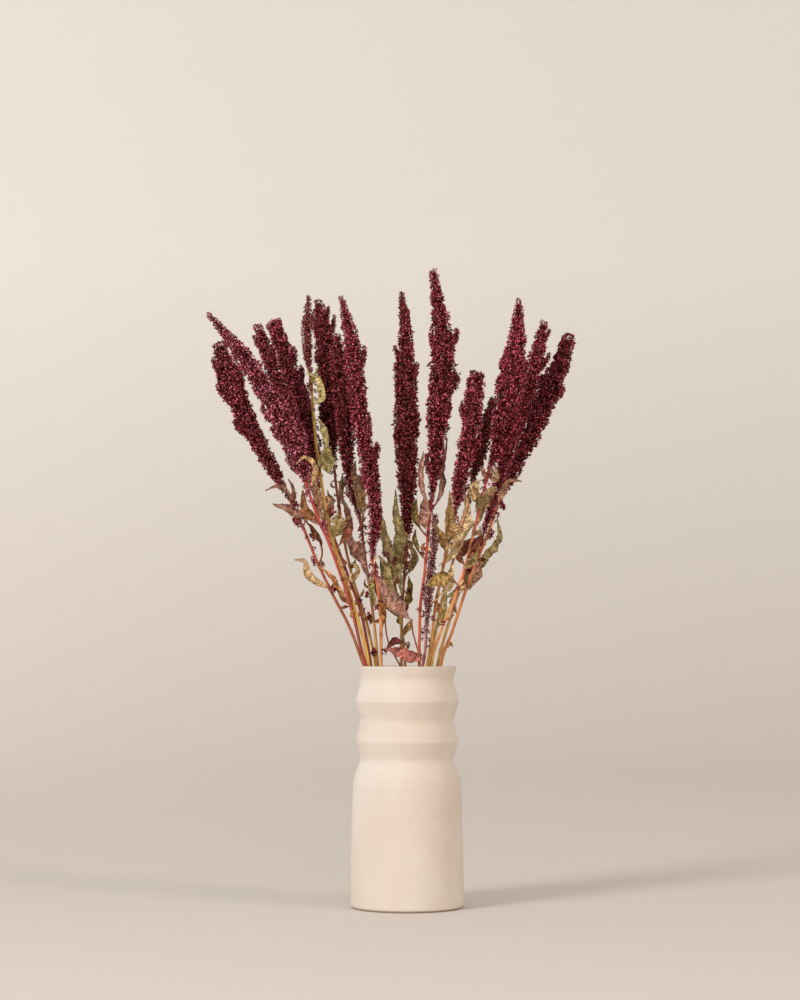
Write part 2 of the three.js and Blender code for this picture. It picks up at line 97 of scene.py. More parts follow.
# The florets: small pointed buds in dense round clusters. The rows of tip tones below lighten or darken
# a bud's tip, the last a painted highlight; their shares say how many buds get each, and the root's tone
# darkens every root as painted shade between the buds.
BUD_SIDES = 4
BUD_WAIST = 0.42
BUD_LENGTH = (2.3, 4.3)
BUD_WIDTH = (1.3, 2.1)
# Rows of tones for a bud's tip; the last row is a painted highlight
BUD_TONE_AND_HIGHLIGHT = np.array([(0.38, 0.17, 0.2), (1.02, 0.82, 0.9), (2.5, 2.9, 3.2)])
BUD_TONE_AND_HIGHLIGHT_SHARES = [0.4, 0.38, 0.22]
# The colour at each bud's root is the dark tint times this: painted shade between the buds
ROOT_SHADE = np.array([0.2, 0.03, 0.04])
# How dark the tube inside each plume and finger is: painted shade that shows in the gaps between the
# clusters
CORE_PAINTED_SHADE = 0.15
CLUSTER_BUDS = 9
CLUSTER_STEP = 4.86
CLUSTER_RADIUS = 2.1
LUMP = 0.14
UPTURN = 0.55
LOOSE_SPOTS = [6, 13, 21, 31, 43, 57]

# The leaves, and the scraps of dry leaf. WITHERED is what a brown patch multiplies the colour by.
LEAF_STALK = 1.7
LEAF_SWELL = 0.8
LEAF_FOLD = 0.3
LEAF_WAVE = 0.16
LEAF_WAVES = 11
LEAF_STEP = 1.3
LEAF_STEPS = (12, 60)
LEAF_COLUMNS = 15
LEAF_FULLNESS = 1.1
LEAF_THIN = 0.14
RAGGED = 0.16
RIB_WIDTH = 0.5
VEIN_STEP = 3.6
FINE_VEIN_STEP = 2.6
PUCKER = 0.7
CRUMPLE = 0.8
WITHERED = np.array([0.62, 0.44, 0.38])
FRONT = (0, -1, 0)
SCRAPS = 6
SCRAP_HEIGHTS = (310, 452)
SCRAP_LENGTH = (7, 15)
SCRAP_WIDTH = (2.6, 5.2)
SCRAP_COLOURS = ["brown", "umber", "tan", "mauve", "straw", "rust"]

# The first seed of each kind of piece
PLUME_SEED = 100
TUFT_SEED = 300
SCRAP_SEED = 400
LEAF_SEED = 1000
SCRAP_LEAF_SEED = 2000
MORE_LEAF_SEED = 3000
SEEDS_A_STEM = 20

# The camera, with distances in metres
PHOTO_WIDTH, PHOTO_HEIGHT = 800, 1000
MM_PER_PIXEL = 1.05
CAMERA_DISTANCE = 2.4
HORIZON_ROW = 644
VASE_COLUMN = 407
CAMERA_HEIGHT = 0.2731
SENSOR = 36

# The studio, in millimetres
FLOOR_MIDDLE = 60
FLOOR_RADIUS = 2500
WALL_RADIUS = 6200
WALL_TOP = 4000
SWEEP_STEPS = 25
STUDIO_SIDES = 96

# Each light is its place and what it faces in metres, its width, power and colour
AIM = (0, 0, 0.33)
LIGHTS = {
    "key": ((-2.8, -2.8, 1.7), AIM, 1.4, 130, (1.0, 0.98, 0.955)),
    "warm_fill": ((3.6, -2.5, 1.6), AIM, 1.2, 60, (1.0, 0.84, 0.68)),
    "front_fill": ((0.7, -4.5, 1.9), AIM, 1.6, 23, (1.0, 0.97, 0.94)),
    "wall_light": ((-3.6, 1.6, 2.0), (-1.6, 6.2, 2.0), 1.6, 80, (1.0, 0.98, 0.95)),
}
WORLD_COLOUR = (1.0, 0.985, 0.97, 1)
WORLD_STRENGTH = 0.68

# Each stem in millimetres, as on the solid model. foot and mouth are [right, back]; stalk, neck and
# spike are [right, up]; back is how far behind the vase's axis the tip is; girth is the plume's width
# from neck to tip; fingers are [share of its length, bearing, reach]. A leaf is its colour, height on
# the stem, share that is bare stalk, how far its tip is behind its root, width, facing, twist, and the
# points of its way. Angles are in degrees: bearing 0 is right, facing 0 is towards the viewer. The
# points were read off a picture by eye, in pixels, and another script turned them into millimetres.
STEMS = [
  dict(
    name="a", foot=[43, -15], mouth=[-43, -12], back=-95,
    stalk=[[-56, 303], [-67, 339], [-80, 375], [-93, 406]], neck=[-105, 441],
    spike=[[-112, 467], [-132, 510], [-157, 551], [-182, 584], [-204, 610]],
    girth=[8, 18, 22, 22, 20, 18, 16, 11, 6],
    fingers=[[0.44, 180, 13], [0.33, 180, 13], [0.16, 180, 11]],
    leaves=[
      ("brown", 394, 0.1, 2, 11, 0, 10, [-97, 401], [-104, 411], [-107, 425], [-108, 432]),
      ("rust", 318, 0.15, 6, 6, 20, 20, [-71, 330], [-80, 344], [-92, 354]),
      ("straw", 431, 0.15, -27, 6.5, 20, 30, [-96, 443], [-97, 458], [-105, 463], [-113, 456]),
    ],
  ),
  dict(
    name="b", foot=[45, -7], mouth=[-45, 0], back=-5,
    stalk=[[-61, 292], [-77.5, 324], [-95, 361], [-109, 395]], neck=[-123, 424],
    spike=[[-142, 458], [-158, 487], [-173, 517], [-186, 549], [-194, 572], [-197, 591]],
    girth=[6, 11, 15, 18, 20, 22, 23, 20, 12],
    fingers=[[0.78, 180, 14], [0.92, 180, 11], [0.82, 0, 13]],
    leaves=[
      ("mauve", 395, 0.1, -7, 11, 10, 25, [-107, 406], [-122, 412], [-141, 420]),
      ("umber", 355, 0.4, -3, 9, 20, 40, [-89, 368], [-91, 379], [-99, 391], [-106, 402]),
      ("straw", 331, 0.05, -4, 8.5, 15, -40, [-92, 337], [-103, 347], [-107, 360], [-118, 361]),
      ("mauve", 417, 0.1, -16, 5, 10, 30, [-123, 429], [-130, 437], [-139, 437], [-148, 433]),
      ("mauve", 415, 0.1, -16, 5.5, 30, 30, [-120, 427], [-120, 436], [-124, 445]),
    ],
  ),
  dict(
    name="c", foot=[-30, -7], mouth=[-41, 8], back=30,
    stalk=[[-53, 304], [-63, 335], [-76, 372], [-90, 409]], neck=[-105, 455],
    spike=[[-122, 506], [-136, 546], [-151, 587], [-160, 615]],
    girth=[8, 16, 20, 20, 18, 16, 15, 14, 9],
    fingers=[[0.94, 180, 8]],
    leaves=[
      ("tan", 398, 0.1, -26, 10, 10, 15, [-92, 412], [-96, 430], [-98, 444], [-92, 455]),
      ("tan", 400, 0.15, 32, 9, 60, 0, [-88, 420], [-93, 437]),
    ],
  ),
  dict(
    name="d", foot=[-5, 33], mouth=[-38, 18], back=95,
    stalk=[[-49, 307], [-61, 341], [-74, 376], [-87, 411]], neck=[-98, 452],
    spike=[[-103, 480], [-113, 529], [-129, 572], [-140, 608], [-148, 631]],
    girth=[6, 17, 20, 20, 20, 19, 18, 17, 10],
    fingers=[[0.97, 180, 8], [0.98, 0, 7], [0.8, 0, 13], [0.67, 0, 14]],
    leaves=[
      ("tan", 400, 0.15, 32, 10, 50, 20, [-84, 425], [-86, 440]),
    ],
  ),
  dict(
    name="e", foot=[-8, -3], mouth=[-39, -20], back=-45,
    stalk=[[-51, 298], [-62, 334], [-75, 373], [-84, 412], [-90, 448], [-95, 485]], neck=[-100, 547],
    spike=[[-103, 576], [-104, 601], [-102, 637]],
    girth=[5, 9, 11, 11, 9, 5],
    leaves=[
      ("green", 521, 0.05, -7, 8.5, 0, -30, [-88, 528], [-88, 538], [-93, 549], [-105, 553]),
      ("green", 538, 0.1, -4, 4, 20, 30, [-97, 549], [-92, 561]),
      ("green", 507, 0.1, -5, 7.5, 20, 20, [-88, 501], [-84, 488], [-83, 478], [-89, 469]),
      ("green", 467, 0.05, -5, 16, 0, 10, [-89, 465], [-83, 459], [-80, 449]),
      ("green", 465, 0.1, -1, 9, 20, 20, [-86, 469], [-79, 478]),
      ("olive", 380, 0.1, -5, 13, 10, 40, [-76, 387], [-72, 397], [-72, 410]),
      ("umber", 373, 0.2, -3, 9, 10, 40, [-70, 376], [-64, 388], [-63, 403]),
    ],
  ),
  dict(
    name="f", foot=[3, 28], mouth=[-33, 29], back=115,
    stalk=[[-46, 307], [-56, 336], [-65, 372], [-71, 407], [-76, 440]], neck=[-80, 478],
    spike=[[-83, 517], [-85, 562], [-90, 602], [-98, 654]],
    girth=[8, 18, 24, 25, 24, 23, 20, 16, 9],
    fingers=[[0.95, 0, 10], [0.88, 0, 15]],
    leaves=[
      ("straw", 357, 0.1, -12, 6, 20, 30, [-57, 359], [-52, 351], [-59, 336]),
      ("olive", 420, 0.15, 34, 11, 50, 20, [-72, 445], [-70, 460]),
    ],
  ),
  dict(
    name="g", foot=[-26, -20], mouth=[-31, 14], back=60,
    stalk=[[-36, 304], [-41, 341], [-46, 375]], neck=[-49, 402],
    spike=[[-60, 440], [-64, 481], [-67, 524], [-71, 568], [-76, 609]],
    girth=[6, 10, 11, 14, 18, 21, 20, 16, 8],
    leaves=[
      ("straw", 399, 0.25, -38, 14, 5, 20, [-47, 412], [-48, 424], [-53, 434], [-58, 440]),
      ("tan", 397, 0.42, -42, 10, 20, 30, [-46, 418], [-49, 439], [-56, 450], [-54, 465]),
      ("mauve", 371, 0.3, -27, 8.5, 25, 30, [-58, 385], [-60, 397], [-64, 412], [-72, 435]),
      ("rose", 346, 0.28, -18, 15, 0, 10, [-45, 359], [-54, 373], [-66, 388]),
    ],
  ),
  dict(
    name="h", foot=[-17, -31], mouth=[-27, -18], back=-45,
    stalk=[[-27.5, 298], [-31, 334]], neck=[-36, 360],
    spike=[[-33, 402], [-36, 443], [-46, 490], [-52, 536], [-57, 583], [-69, 634]],
    girth=[6, 12, 14, 16, 17, 16, 18, 18, 17, 12, 7],
    fingers=[[0.8, 0, 12], [0.44, 0, 13]],
    leaves=[
      ("green", 306, 0.1, -4, 7.5, 15, 20, [-35, 319], [-37, 333], [-36, 348]),
      ("rust", 283, 0.2, 6, 6.5, 20, 20, [-25, 300], [-26, 314], [-29, 325]),
      ("straw", 343, 0.6, -6, 2.4, 20, 0, [-35, 352], [-32, 368]),
    ],
  ),
  dict(
    name="i", foot=[-3, 44], mouth=[-6, 30], back=75,
    stalk=[[-6, 277], [-5, 309], [-3, 341]], neck=[-1, 371],
    spike=[[1, 406], [0, 471], [-1, 537], [-1, 603], [-6, 659]],
    girth=[5, 11, 15, 20, 23, 24, 24, 22, 18, 14, 12, 6],
    fingers=[[0.79, 180, 13], [0.72, 0, 12]],
    leaves=[
      ("green", 318, 0.1, -34, 13.5, 0, 12, [-8, 341], [-9, 362], [-8, 383], [-11, 406], [-12, 436]),
      ("olive", 343, 0.2, -24, 9, 10, 20, [4, 354], [8, 367], [3, 379]),
      ("moss", 305, 0.15, -14, 9, 10, 20, [1, 319], [3, 332], [2, 345]),
      ("olive", 345, 0.15, 34, 10, 50, 20, [-4, 368], [-6, 386]),
    ],
  ),
  dict(
    name="j", foot=[29, -34], mouth=[13, -14], back=-60,
    stalk=[[13, 282], [14, 314], [18, 345], [21, 376]], neck=[25, 420],
    spike=[[29, 458], [32, 513], [37, 561], [34, 609], [26, 661]],
    girth=[6, 12, 16, 20, 23, 24, 24, 20, 16, 12, 8],
    fingers=[[0.73, 180, 12], [0.74, 0, 17], [0.56, 0, 16]],
    leaves=[
      ("rose", 262, 0.42, -20, 15, 5, 12, [6, 285], [4, 297], [-6, 308], [-19, 321], [-31, 342]),
      ("rose", 388, 0.1, -8, 11.5, 0, 10, [18, 401], [18, 415], [19, 429]),
      ("rose", 414, 0.2, -10, 7, 10, 20, [20, 422], [15, 434], [14, 453], [17, 472]),
      ("mauve", 411, 0.12, 13, 7, 10, 50, [32, 422], [36, 438], [35, 455], [39, 471], [42, 487]),
      ("moss", 383, 0.3, 20, 8, 10, 10, [12, 396], [8, 411], [10, 425]),
      ("moss", 360, 0.3, 14, 6.5, 10, 20, [12, 370], [8, 381], [9, 393]),
    ],
  ),
  dict(
    name="k", foot=[-29, 1], mouth=[21, 5], back=-120,
    stalk=[[25.5, 277], [29, 308], [35.5, 344], [43, 380]], neck=[49, 406],
    spike=[[54, 440], [62, 477], [67, 509], [71, 548]],
    girth=[6, 12, 15, 17, 18, 18, 16, 12],
    fingers=[[0.95, 180, 9], [0.78, 180, 13]],
    leaves=[
      ("khaki", 364, 0.08, -46, 12, 0, 15, [42, 379], [44, 394], [44, 408], [43, 428]),
      ("khaki", 367, 0.1, -14, 9, 10, 30, [36, 379], [32, 389], [27, 398]),
      ("cream", 322, 0.1, -10, 8.5, 10, 20, [42, 331], [44, 344], [48, 359]),
      ("cream", 354, 0.05, 2, 13.5, 0, 15, [48, 368], [56, 383], [61, 400], [62, 417], [60, 430]),
    ],
  ),
  dict(
    name="l", foot=[-15, 19], mouth=[24, 24], back=150,
    stalk=[[30.5, 286], [39.5, 326], [53.5, 375], [64, 417]], neck=[72, 451],
    spike=[[82, 490], [91, 522], [98, 552]],
    girth=[6, 14, 16, 15, 13, 8],
    leaves=[
      ("olive", 320, 0.1, -25, 8.5, 10, 20, [60, 335], [63, 350], [63, 363]),
      ("green", 284, 0.1, -8, 6, 20, 20, [37, 303], [41, 319], [42, 329]),
      ("olive", 400, 0.15, 32, 10, 50, 20, [66, 424], [68, 441]),
    ],
  ),
  dict(
    name="m", foot=[15, 31], mouth=[25, -20], back=-70,
    stalk=[[35, 286], [48, 319], [60, 353], [69, 389], [77, 422]], neck=[85, 452],
    spike=[[96, 483], [104, 524], [111, 565], [115, 629]],
    girth=[6, 16, 22, 25, 25, 22, 17, 13, 6],
    fingers=[[0.72, 180, 11], [0.66, 180, 13], [0.66, 0, 13]],
    leaves=[
      ("tan", 409, 0.1, 4, 14, 5, 20, [80, 421], [86, 429], [94, 434]),
      ("cream", 419, 0.1, -6, 11, 10, 30, [71, 428], [68, 435], [76, 442]),
      ("rose", 447, 0.1, -9, 6, 10, 20, [80, 445], [76, 456]),
      ("tan", 446, 0.1, -10, 6, 10, 20, [91, 442], [91, 458]),
      ("olive", 390, 0.2, 6, 6.5, 20, 20, [76, 406], [81, 419], [86, 427]),
      ("umber", 354, 0.1, 7, 9, 10, 10, [54, 363], [57, 375], [64, 381]),
      ("mustard", 333, 0.3, -12, 16, 0, 15, [46, 341], [37, 341], [29, 338], [20, 333]),
    ],
  ),
  dict(
    name="n", foot=[3, 39], mouth=[32, 14], back=75,
    stalk=[[38.5, 277], [48, 307], [57.5, 336], [68, 362]], neck=[80, 386],
    spike=[[92, 427], [109, 479], [127, 531], [140, 579], [150, 625]],
    girth=[6, 10, 12, 14, 15, 16, 17, 16, 14, 9],
    fingers=[[0.97, 0, 8], [0.86, 0, 13]],
    leaves=[
      ("olive", 335, 0.2, -26, 9, 10, 25, [75, 349], [82, 365], [92, 375], [97, 386], [95, 406]),
      ("tan", 327, 0.1, -12, 10, 10, 20, [71, 340], [75, 351], [79, 366]),
      ("umber", 360, 0.1, -10, 11, 10, 20, [73, 371], [78, 377], [84, 379]),
      ("straw", 266, 0.1, -4, 4, 10, 20, [44, 272], [47, 275], [48, 270]),
      ("mustard", 360, 0.15, 30, 9, 50, 20, [76, 384], [79, 400]),
    ],
  ),
  dict(
    name="o", foot=[38, 9], mouth=[35, -8], back=-20,
    stalk=[[47, 286], [58, 319], [70, 352], [85, 389]], neck=[97, 423],
    spike=[[113, 457], [133, 500], [151, 543], [172, 597]],
    girth=[6, 12, 15, 19, 21, 21, 20, 17, 12],
    fingers=[[0.97, 180, 6], [0.73, 0, 13], [0.75, 180, 13]],
    leaves=[
      ("tan", 414, 0.1, -30, 6, 10, 20, [100, 433], [106, 442], [119, 441]),
    ],
  ),
  dict(
    name="p", foot=[-21, -38], mouth=[16, -31], back=-30,
    stalk=[[19, 269]], neck=[20, 291],
    spike=[[23, 327], [27, 376], [30, 410]],
    girth=[6, 9, 10, 9, 9, 6],
    leaves=[
      ("pink", 258, 0.05, -5, 14, 15, 30, [3, 259], [-9, 264], [-23, 268]),
    ],
  ),
  dict(
    name="q", foot=[-43, 15], mouth=[-2, 6], back=10,
    stalk=[[-5, 283], [-9, 314], [-14, 343]], neck=[-20, 372],
    spike=[[-26, 386]],
    leaves=[
      ("olive", 339, 0.1, -8, 10, 5, 15, [-17, 359], [-22, 381], [-26, 401], [-30, 419]),
      ("olive", 322, 0.1, -8, 11, 5, 20, [-17, 334], [-21, 346], [-24, 357], [-30, 366]),
      ("mustard", 279, 0.12, -8, 7.5, 10, 20, [-1, 288], [6, 299]),
      ("plum", 275, 0.1, -12, 8, 10, 20, [-13, 275], [-22, 268]),
    ],
  ),
]

# Colours as sRGB values from 0 to 255. A plume has a dark and a light one, and a stem those of its two ends
LEAF_COLOURS = {
    "olive": (172, 155, 108), "green": (196, 184, 128), "moss": (135, 115, 62), "straw": (228, 197, 148),
    "cream": (240, 214, 168), "tan": (206, 166, 134), "mauve": (178, 139, 123), "rose": (192, 149, 134),
    "mustard": (186, 157, 98), "brown": (162, 112, 78), "umber": (150, 97, 72), "rust": (204, 150, 98),
    "pink": (190, 122, 110), "plum": (138, 74, 72), "khaki": (188, 156, 106),
}
STEM_TINTS = {
    "a": ((156, 78, 58), (178, 64, 64)), "b": ((160, 104, 60), (170, 66, 58)),
    "c": ((200, 138, 76), (186, 78, 66)), "d": ((150, 70, 52), (128, 44, 44)),
    "e": ((200, 158, 74), (168, 138, 60)), "f": ((186, 146, 70), (132, 54, 46)),
    "g": ((206, 164, 84), (150, 66, 52)), "h": ((212, 168, 88), (196, 66, 70)),
    "i": ((164, 126, 66), (140, 92, 56)), "j": ((200, 110, 76), (190, 78, 64)),
    "k": ((212, 172, 92), (150, 72, 54)), "l": ((200, 162, 84), (140, 80, 56)),
    "m": ((218, 178, 100), (212, 78, 86)), "n": ((192, 152, 74), (150, 84, 54)),
    "o": ((204, 140, 74), (196, 104, 72)), "p": ((146, 96, 84), (150, 88, 88)),
    "q": ((172, 142, 70), (120, 100, 52)),
}
PLUME_TINTS = {
    "a": ((130, 38, 54), (212, 120, 134)), "b": ((98, 18, 30), (184, 86, 98)),
    "c": ((102, 20, 31), (188, 86, 97)), "d": ((104, 20, 32), (192, 90, 101)),
    "e": ((128, 54, 54), (196, 122, 116)), "f": ((82, 14, 21), (166, 72, 77)),
    "g": ((86, 15, 22), (170, 74, 80)), "h": ((112, 23, 36), (200, 94, 108)),
    "i": ((98, 22, 27), (184, 86, 88)), "j": ((102, 22, 29), (190, 88, 95)),
    "k": ((108, 25, 34), (194, 90, 98)), "l": ((58, 11, 17), (124, 46, 52)),
    "m": ((114, 21, 36), (204, 92, 108)), "n": ((100, 18, 29), (190, 84, 94)),
    "o": ((82, 16, 24), (172, 74, 84)), "p": ((150, 92, 90), (208, 158, 152)),
}
BLUSH_COLOUR = (150, 62, 56)
STALK_COLOUR = (186, 92, 72)
# Small specks over the florets take this colour: painted highlights
HIGHLIGHT_FLECK_COLOUR = (196, 128, 120)
CLAY_COLOUR = (206, 197, 188)
CLAY_SHADE = (200, 188, 175)
WALL_COLOUR = (226, 221, 215)
FLOOR_COLOUR = (205, 197, 190)

# Small leaves that the solid model leaves out, in the same terms
MORE_LEAVES = {
  "f": [
    ("rust", 314, 0.1, -14, 4.5, 10, 20, [-68, 320], [-72, 328], [-76, 338]),
  ],
  "g": [
    ("rose", 341, 0.15, -12, 6, 10, 20, [-43, 348], [-49, 362], [-52, 374]),
  ],
  "i": [
    ("moss", 299, 0.1, -26, 6, 10, 20, [-22, 313], [-31, 328], [-34, 345], [-33, 360]),
    ("moss", 248, 0.9, -24, 3, 10, 20, [-20, 277], [-24, 319], [-28, 361]),
  ],
  "k": [
    ("tan", 383, 0.1, -16, 4.5, 10, 40, [54, 392], [58, 403], [61, 414], [59, 424]),
  ],
  "m": [
    ("brown", 360, 0.1, -10, 10, 10, 20, [65, 364], [70, 371], [73, 379]),
    ("olive", 349, 0.1, -8, 8, 10, 20, [63, 354], [68, 360], [73, 368]),
    ("umber", 372, 0.1, 26, 13, 0, 10, [59, 368], [63, 376], [68, 384]),
    ("plum", 375, 0.1, 20, 12, 0, 10, [67, 373], [74, 379], [78, 386]),
    ("straw", 416, 0.1, -12, 10, 10, 30, [73, 421], [67, 427], [61, 431]),
    ("cream", 422, 0.1, -14, 7, 10, 40, [79, 425], [85, 431], [92, 434]),
    ("olive", 409, 0.1, -10, 9, 20, -30, [73, 414], [79, 422], [82, 433]),
  ],
}

# Tufts of florets on the bare stems: height, bearing, reach and number of clusters
TUFTS = {
    "a": [(396, 0, 2, 3)],
    "b": [(419, 0, 3, 7), (403, 180, 4, 10), (384, 0, 8, 5), (361, 180, 3, 5), (328, 0, 5, 5)],
    "c": [(378, -90, 3, 2), (340, 180, 2, 2)],
    "d": [(428, 180, 3, 3), (352, 180, 2, 2)],
    "e": [(409, 0, 7, 12)],
    "f": [(429, 0, 3, 4), (318, -90, 2, 2)],
    "g": [(301, 180, 3, 5), (323, 180, 4, 4), (262, 180, 3, 4)],
    "h": [(265, 0, 4, 3), (310, -90, 2, 1)],
    "i": [(355, 0, 3, 8), (320, 180, 4, 9), (313, -60, 4, 9)],
    "j": [(368, 180, 3, 3), (312, -90, 2, 1)],
    "k": [(300, -90, 2, 1)],
    "m": [(293, -90, 2, 1), (331, -90, 2, 2), (372, 0, 5, 12)],
    "n": [(352, 0, 3, 4)],
    "o": [(418, 0, 6, 7), (389, 0, 3, 4)],
    "q": [(377, 20, 3, 7), (369, 200, 4, 7), (359, -30, 3, 6), (350, 180, 3, 5), (272, 0, 3, 3)],
}


def linear(colour):
    """An sRGB colour from 0 to 255 as linear values from 0 to 1."""
    value = np.asarray(colour, float) / 255
    return np.where(value < 0.04045, value / 12.92, ((value + 0.055) / 1.055) ** 2.4)


def paint(colour):
    """An sRGB colour from 0 to 255 as a node takes it."""
    return tuple(linear(colour))


def unit(vectors):
    return vectors / np.maximum(np.linalg.norm(vectors, axis=-1, keepdims=True), 1e-9)


def spread(values, share):
    """A value read from a list spread evenly from 0 to 1."""
    return np.interp(np.clip(share, 0, 1), np.linspace(0, 1, len(values)), values)


def circle(sides):
    """The angle of each corner of a ring."""
    return np.linspace(0, 2 * math.pi, sides, endpoint=False)


def ground(at, seed):
    """Smooth noise from -1 to 1 along a line, the same on every run."""
    dice = np.random.default_rng(seed)
    waves = dice.uniform(0.4, 2.2, 6)
    phases = dice.uniform(0, 2 * math.pi, 6)
    return np.sin(np.outer(np.ravel(at), waves) + phases).mean(1).reshape(np.shape(at)) * 1.6


def ground_plane(x, y, scale, seed):
    """Smooth noise from about -1 to 1 over a plane, the same on every run."""
    dice = np.random.default_rng(seed)
    total = 0
    for _ in range(7):
        turn, phase = dice.uniform(0, 2 * math.pi, 2)
        pitch = dice.uniform(0.6, 1.6) * 2 * math.pi / scale
        total = total + np.sin(pitch * (x * math.cos(turn) + y * math.sin(turn)) + phase)
    return total / 3


# Curves
def smooth_line(points):
    """A centripetal Catmull-Rom curve through the points, as a fine polyline."""
    points = np.asarray(points, float)
    ends = np.vstack([2 * points[0] - points[1], points, 2 * points[-1] - points[-2]])
    gaps = np.linalg.norm(np.diff(ends, axis=0), axis=1) ** 0.5
    t = np.linspace(0, 1, CURVE_STEPS, endpoint=False)[:, None]
    line = []
    for i in range(len(points) - 1):
        p0, p1, p2, p3 = ends[i:i + 4]
        d0, d1, d2 = gaps[i:i + 3]
        m1 = ((p1 - p0) / d0 - (p2 - p0) / (d0 + d1) + (p2 - p1) / d1) * d1
        m2 = ((p2 - p1) / d1 - (p3 - p1) / (d1 + d2) + (p3 - p2) / d2) * d1
        square = 3 * (p2 - p1) - 2 * m1 - m2
        cube = 2 * (p1 - p2) + m1 + m2
        line.append(p1 + m1 * t + square * t ** 2 + cube * t ** 3)
    return np.vstack([*line, points[-1:]])


def bent_line(start, bend, end, steps):
    """A quadratic Bezier curve as a polyline."""
    t = np.linspace(0, 1, steps)[:, None]
    return (1 - t) ** 2 * start + 2 * t * (1 - t) * bend + t ** 2 * end


class Curve:
    """A polyline that is read by the distance along it."""

    def __init__(self, line):
        self.line = line
        self.at = np.concatenate([[0], np.cumsum(np.linalg.norm(np.diff(line, axis=0), axis=1))])
        self.length = self.at[-1]
        self.headings = unit(np.gradient(line, self.at, axis=0))

    def place(self, distance):
        """Points at those distances, with the directions along, to the right and to the back."""
        distance = np.asarray(distance, float)
        read = lambda rows: np.stack([np.interp(distance, self.at, rows[:, k]) for k in range(3)], -1)
        along = unit(read(self.headings))
        right = unit(np.stack([along[..., 2], np.zeros_like(along[..., 0]), -along[..., 0]], -1))
        return read(self.line), along, right, np.cross(along, right)

    def at_height(self, height):
        return float(np.interp(height, self.line[:, 2], self.at))

    def around(self, distance, angle, radius):
        point, _, right, back = self.place(distance)
        turn, radius = np.asarray(angle, float)[..., None], np.asarray(radius, float)[..., None]
        return point + radius * (np.cos(turn) * right + np.sin(turn) * back)

    def upturned(self, distance, skin):
        """Directions out to points of the skin, turned up along the curve."""
        point, along, _, _ = self.place(distance)
        return unit(unit(skin - point) + UPTURN * along)


def stem_curve(stem):
    """The whole way of a stem from foot to tip, and the distance at which its plume begins."""
    lean = (stem["back"] - stem["mouth"][1]) / (stem["spike"][-1][1] - VASE_HEIGHT)
    risen = lambda right, up: (right, stem["mouth"][1] + lean * (up - VASE_HEIGHT), up)
    above = [*stem["stalk"], stem["neck"], *stem["spike"]]
    points = [(*stem["foot"], FOOT_HEIGHT), (*stem["mouth"], VASE_HEIGHT), *[risen(*p) for p in above]]
    curve = Curve(smooth_line(points))
    neck = curve.at[CURVE_STEPS * (len(points) - 1 - len(stem["spike"]))]
    return curve, neck


# Meshes
def add_object(name, data):
    thing = bpy.data.objects.new(name, data)
    bpy.context.scene.collection.objects.link(thing)
    return thing


class Clay:
    """Gathers points, faces and tints, and makes one piece of them."""

    def __init__(self):
        self.points, self.tints, self.faces, self.blades, self.count = [], [], [], [], 0

    def add(self, points, faces, tint, blade=None):
        points = np.asarray(points, float).reshape(-1, 3)
        self.points.append(points)
        self.tints.append(np.broadcast_to(np.asarray(tint, float), points.shape))
        if blade is not None:
            self.blades.append(blade)
        self.faces += [np.asarray(group) + self.count for group in faces if len(group)]
        self.count += len(points)

    def piece(self, name, finish, slot, *nodes):
        mesh = bpy.data.meshes.new(name)
        mesh.vertices.add(self.count)
        mesh.vertices.foreach_set("co", (np.vstack(self.points) * MM).astype(np.float32).ravel())
        sizes = np.concatenate([np.full(len(group), group.shape[1]) for group in self.faces])
        corners = np.concatenate([group.ravel() for group in self.faces])
        mesh.loops.add(len(corners))
        mesh.loops.foreach_set("vertex_index", corners.astype(np.int32))
        mesh.polygons.add(len(sizes))
        starts = np.concatenate([[0], np.cumsum(sizes)[:-1]])
        mesh.polygons.foreach_set("loop_start", starts.astype(np.int32))
        mesh.polygons.foreach_set("use_smooth", np.ones(len(sizes), bool))
        tint = mesh.color_attributes.new("tint", "FLOAT_COLOR", "POINT")
        rgba = np.hstack([np.vstack(self.tints), np.ones((self.count, 1))])
        tint.data.foreach_set("color", rgba.astype(np.float32).ravel())
        if self.blades:
            blade = mesh.attributes.new("blade", "FLOAT_VECTOR", "POINT")
            blade.data.foreach_set("vector", np.vstack(self.blades).astype(np.float32).ravel())
        mesh.update(calc_edges=True)
        mesh.validate()
        mesh.materials.append(finish)
        thing = add_object(name, mesh)
        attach(thing, "root")
        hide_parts(*nodes)


def skin_faces(rows, columns):
    """Faces of a closed tube of rings, with a fan to a middle point over each end."""
    row, column = np.meshgrid(np.arange(rows - 1), np.arange(columns), indexing="ij")
    low = (row * columns + column).ravel()
    next_low = (row * columns + (column + 1) % columns).ravel()
    quads = np.stack([low, next_low, next_low + columns, low + columns], 1)
    side = np.arange(columns)
    after = (side + 1) % columns
    last = (rows - 1) * columns
    start = np.stack([np.full(columns, rows * columns), after, side], 1)
    end = np.stack([np.full(columns, rows * columns + 1), last + side, last + after], 1)
    return [quads, start, end]


def turned(radii, heights, sides):
    """Rings of points about the vase's axis, with a row for each height."""
    turns = circle(sides)
    return np.stack([radii * np.cos(turns), radii * np.sin(turns), np.repeat(heights, sides, 1)], -1)


def add_tube(clay, curve, distances, radii, tint):
    """A closed tube. radii and tint have a row for each distance and a column for each side."""
    rows, sides = radii.shape
    rings = curve.around(distances[:, None] + np.zeros(sides), np.tile(circle(sides), (rows, 1)), radii)
    points = np.vstack([rings.reshape(-1, 3), rings[0].mean(0), rings[-1].mean(0)])
    tints = np.broadcast_to(tint, (rows, sides, 3)).reshape(-1, 3)
    clay.add(points, skin_faces(rows, sides), np.vstack([tints, tints[0], tints[-1]]))


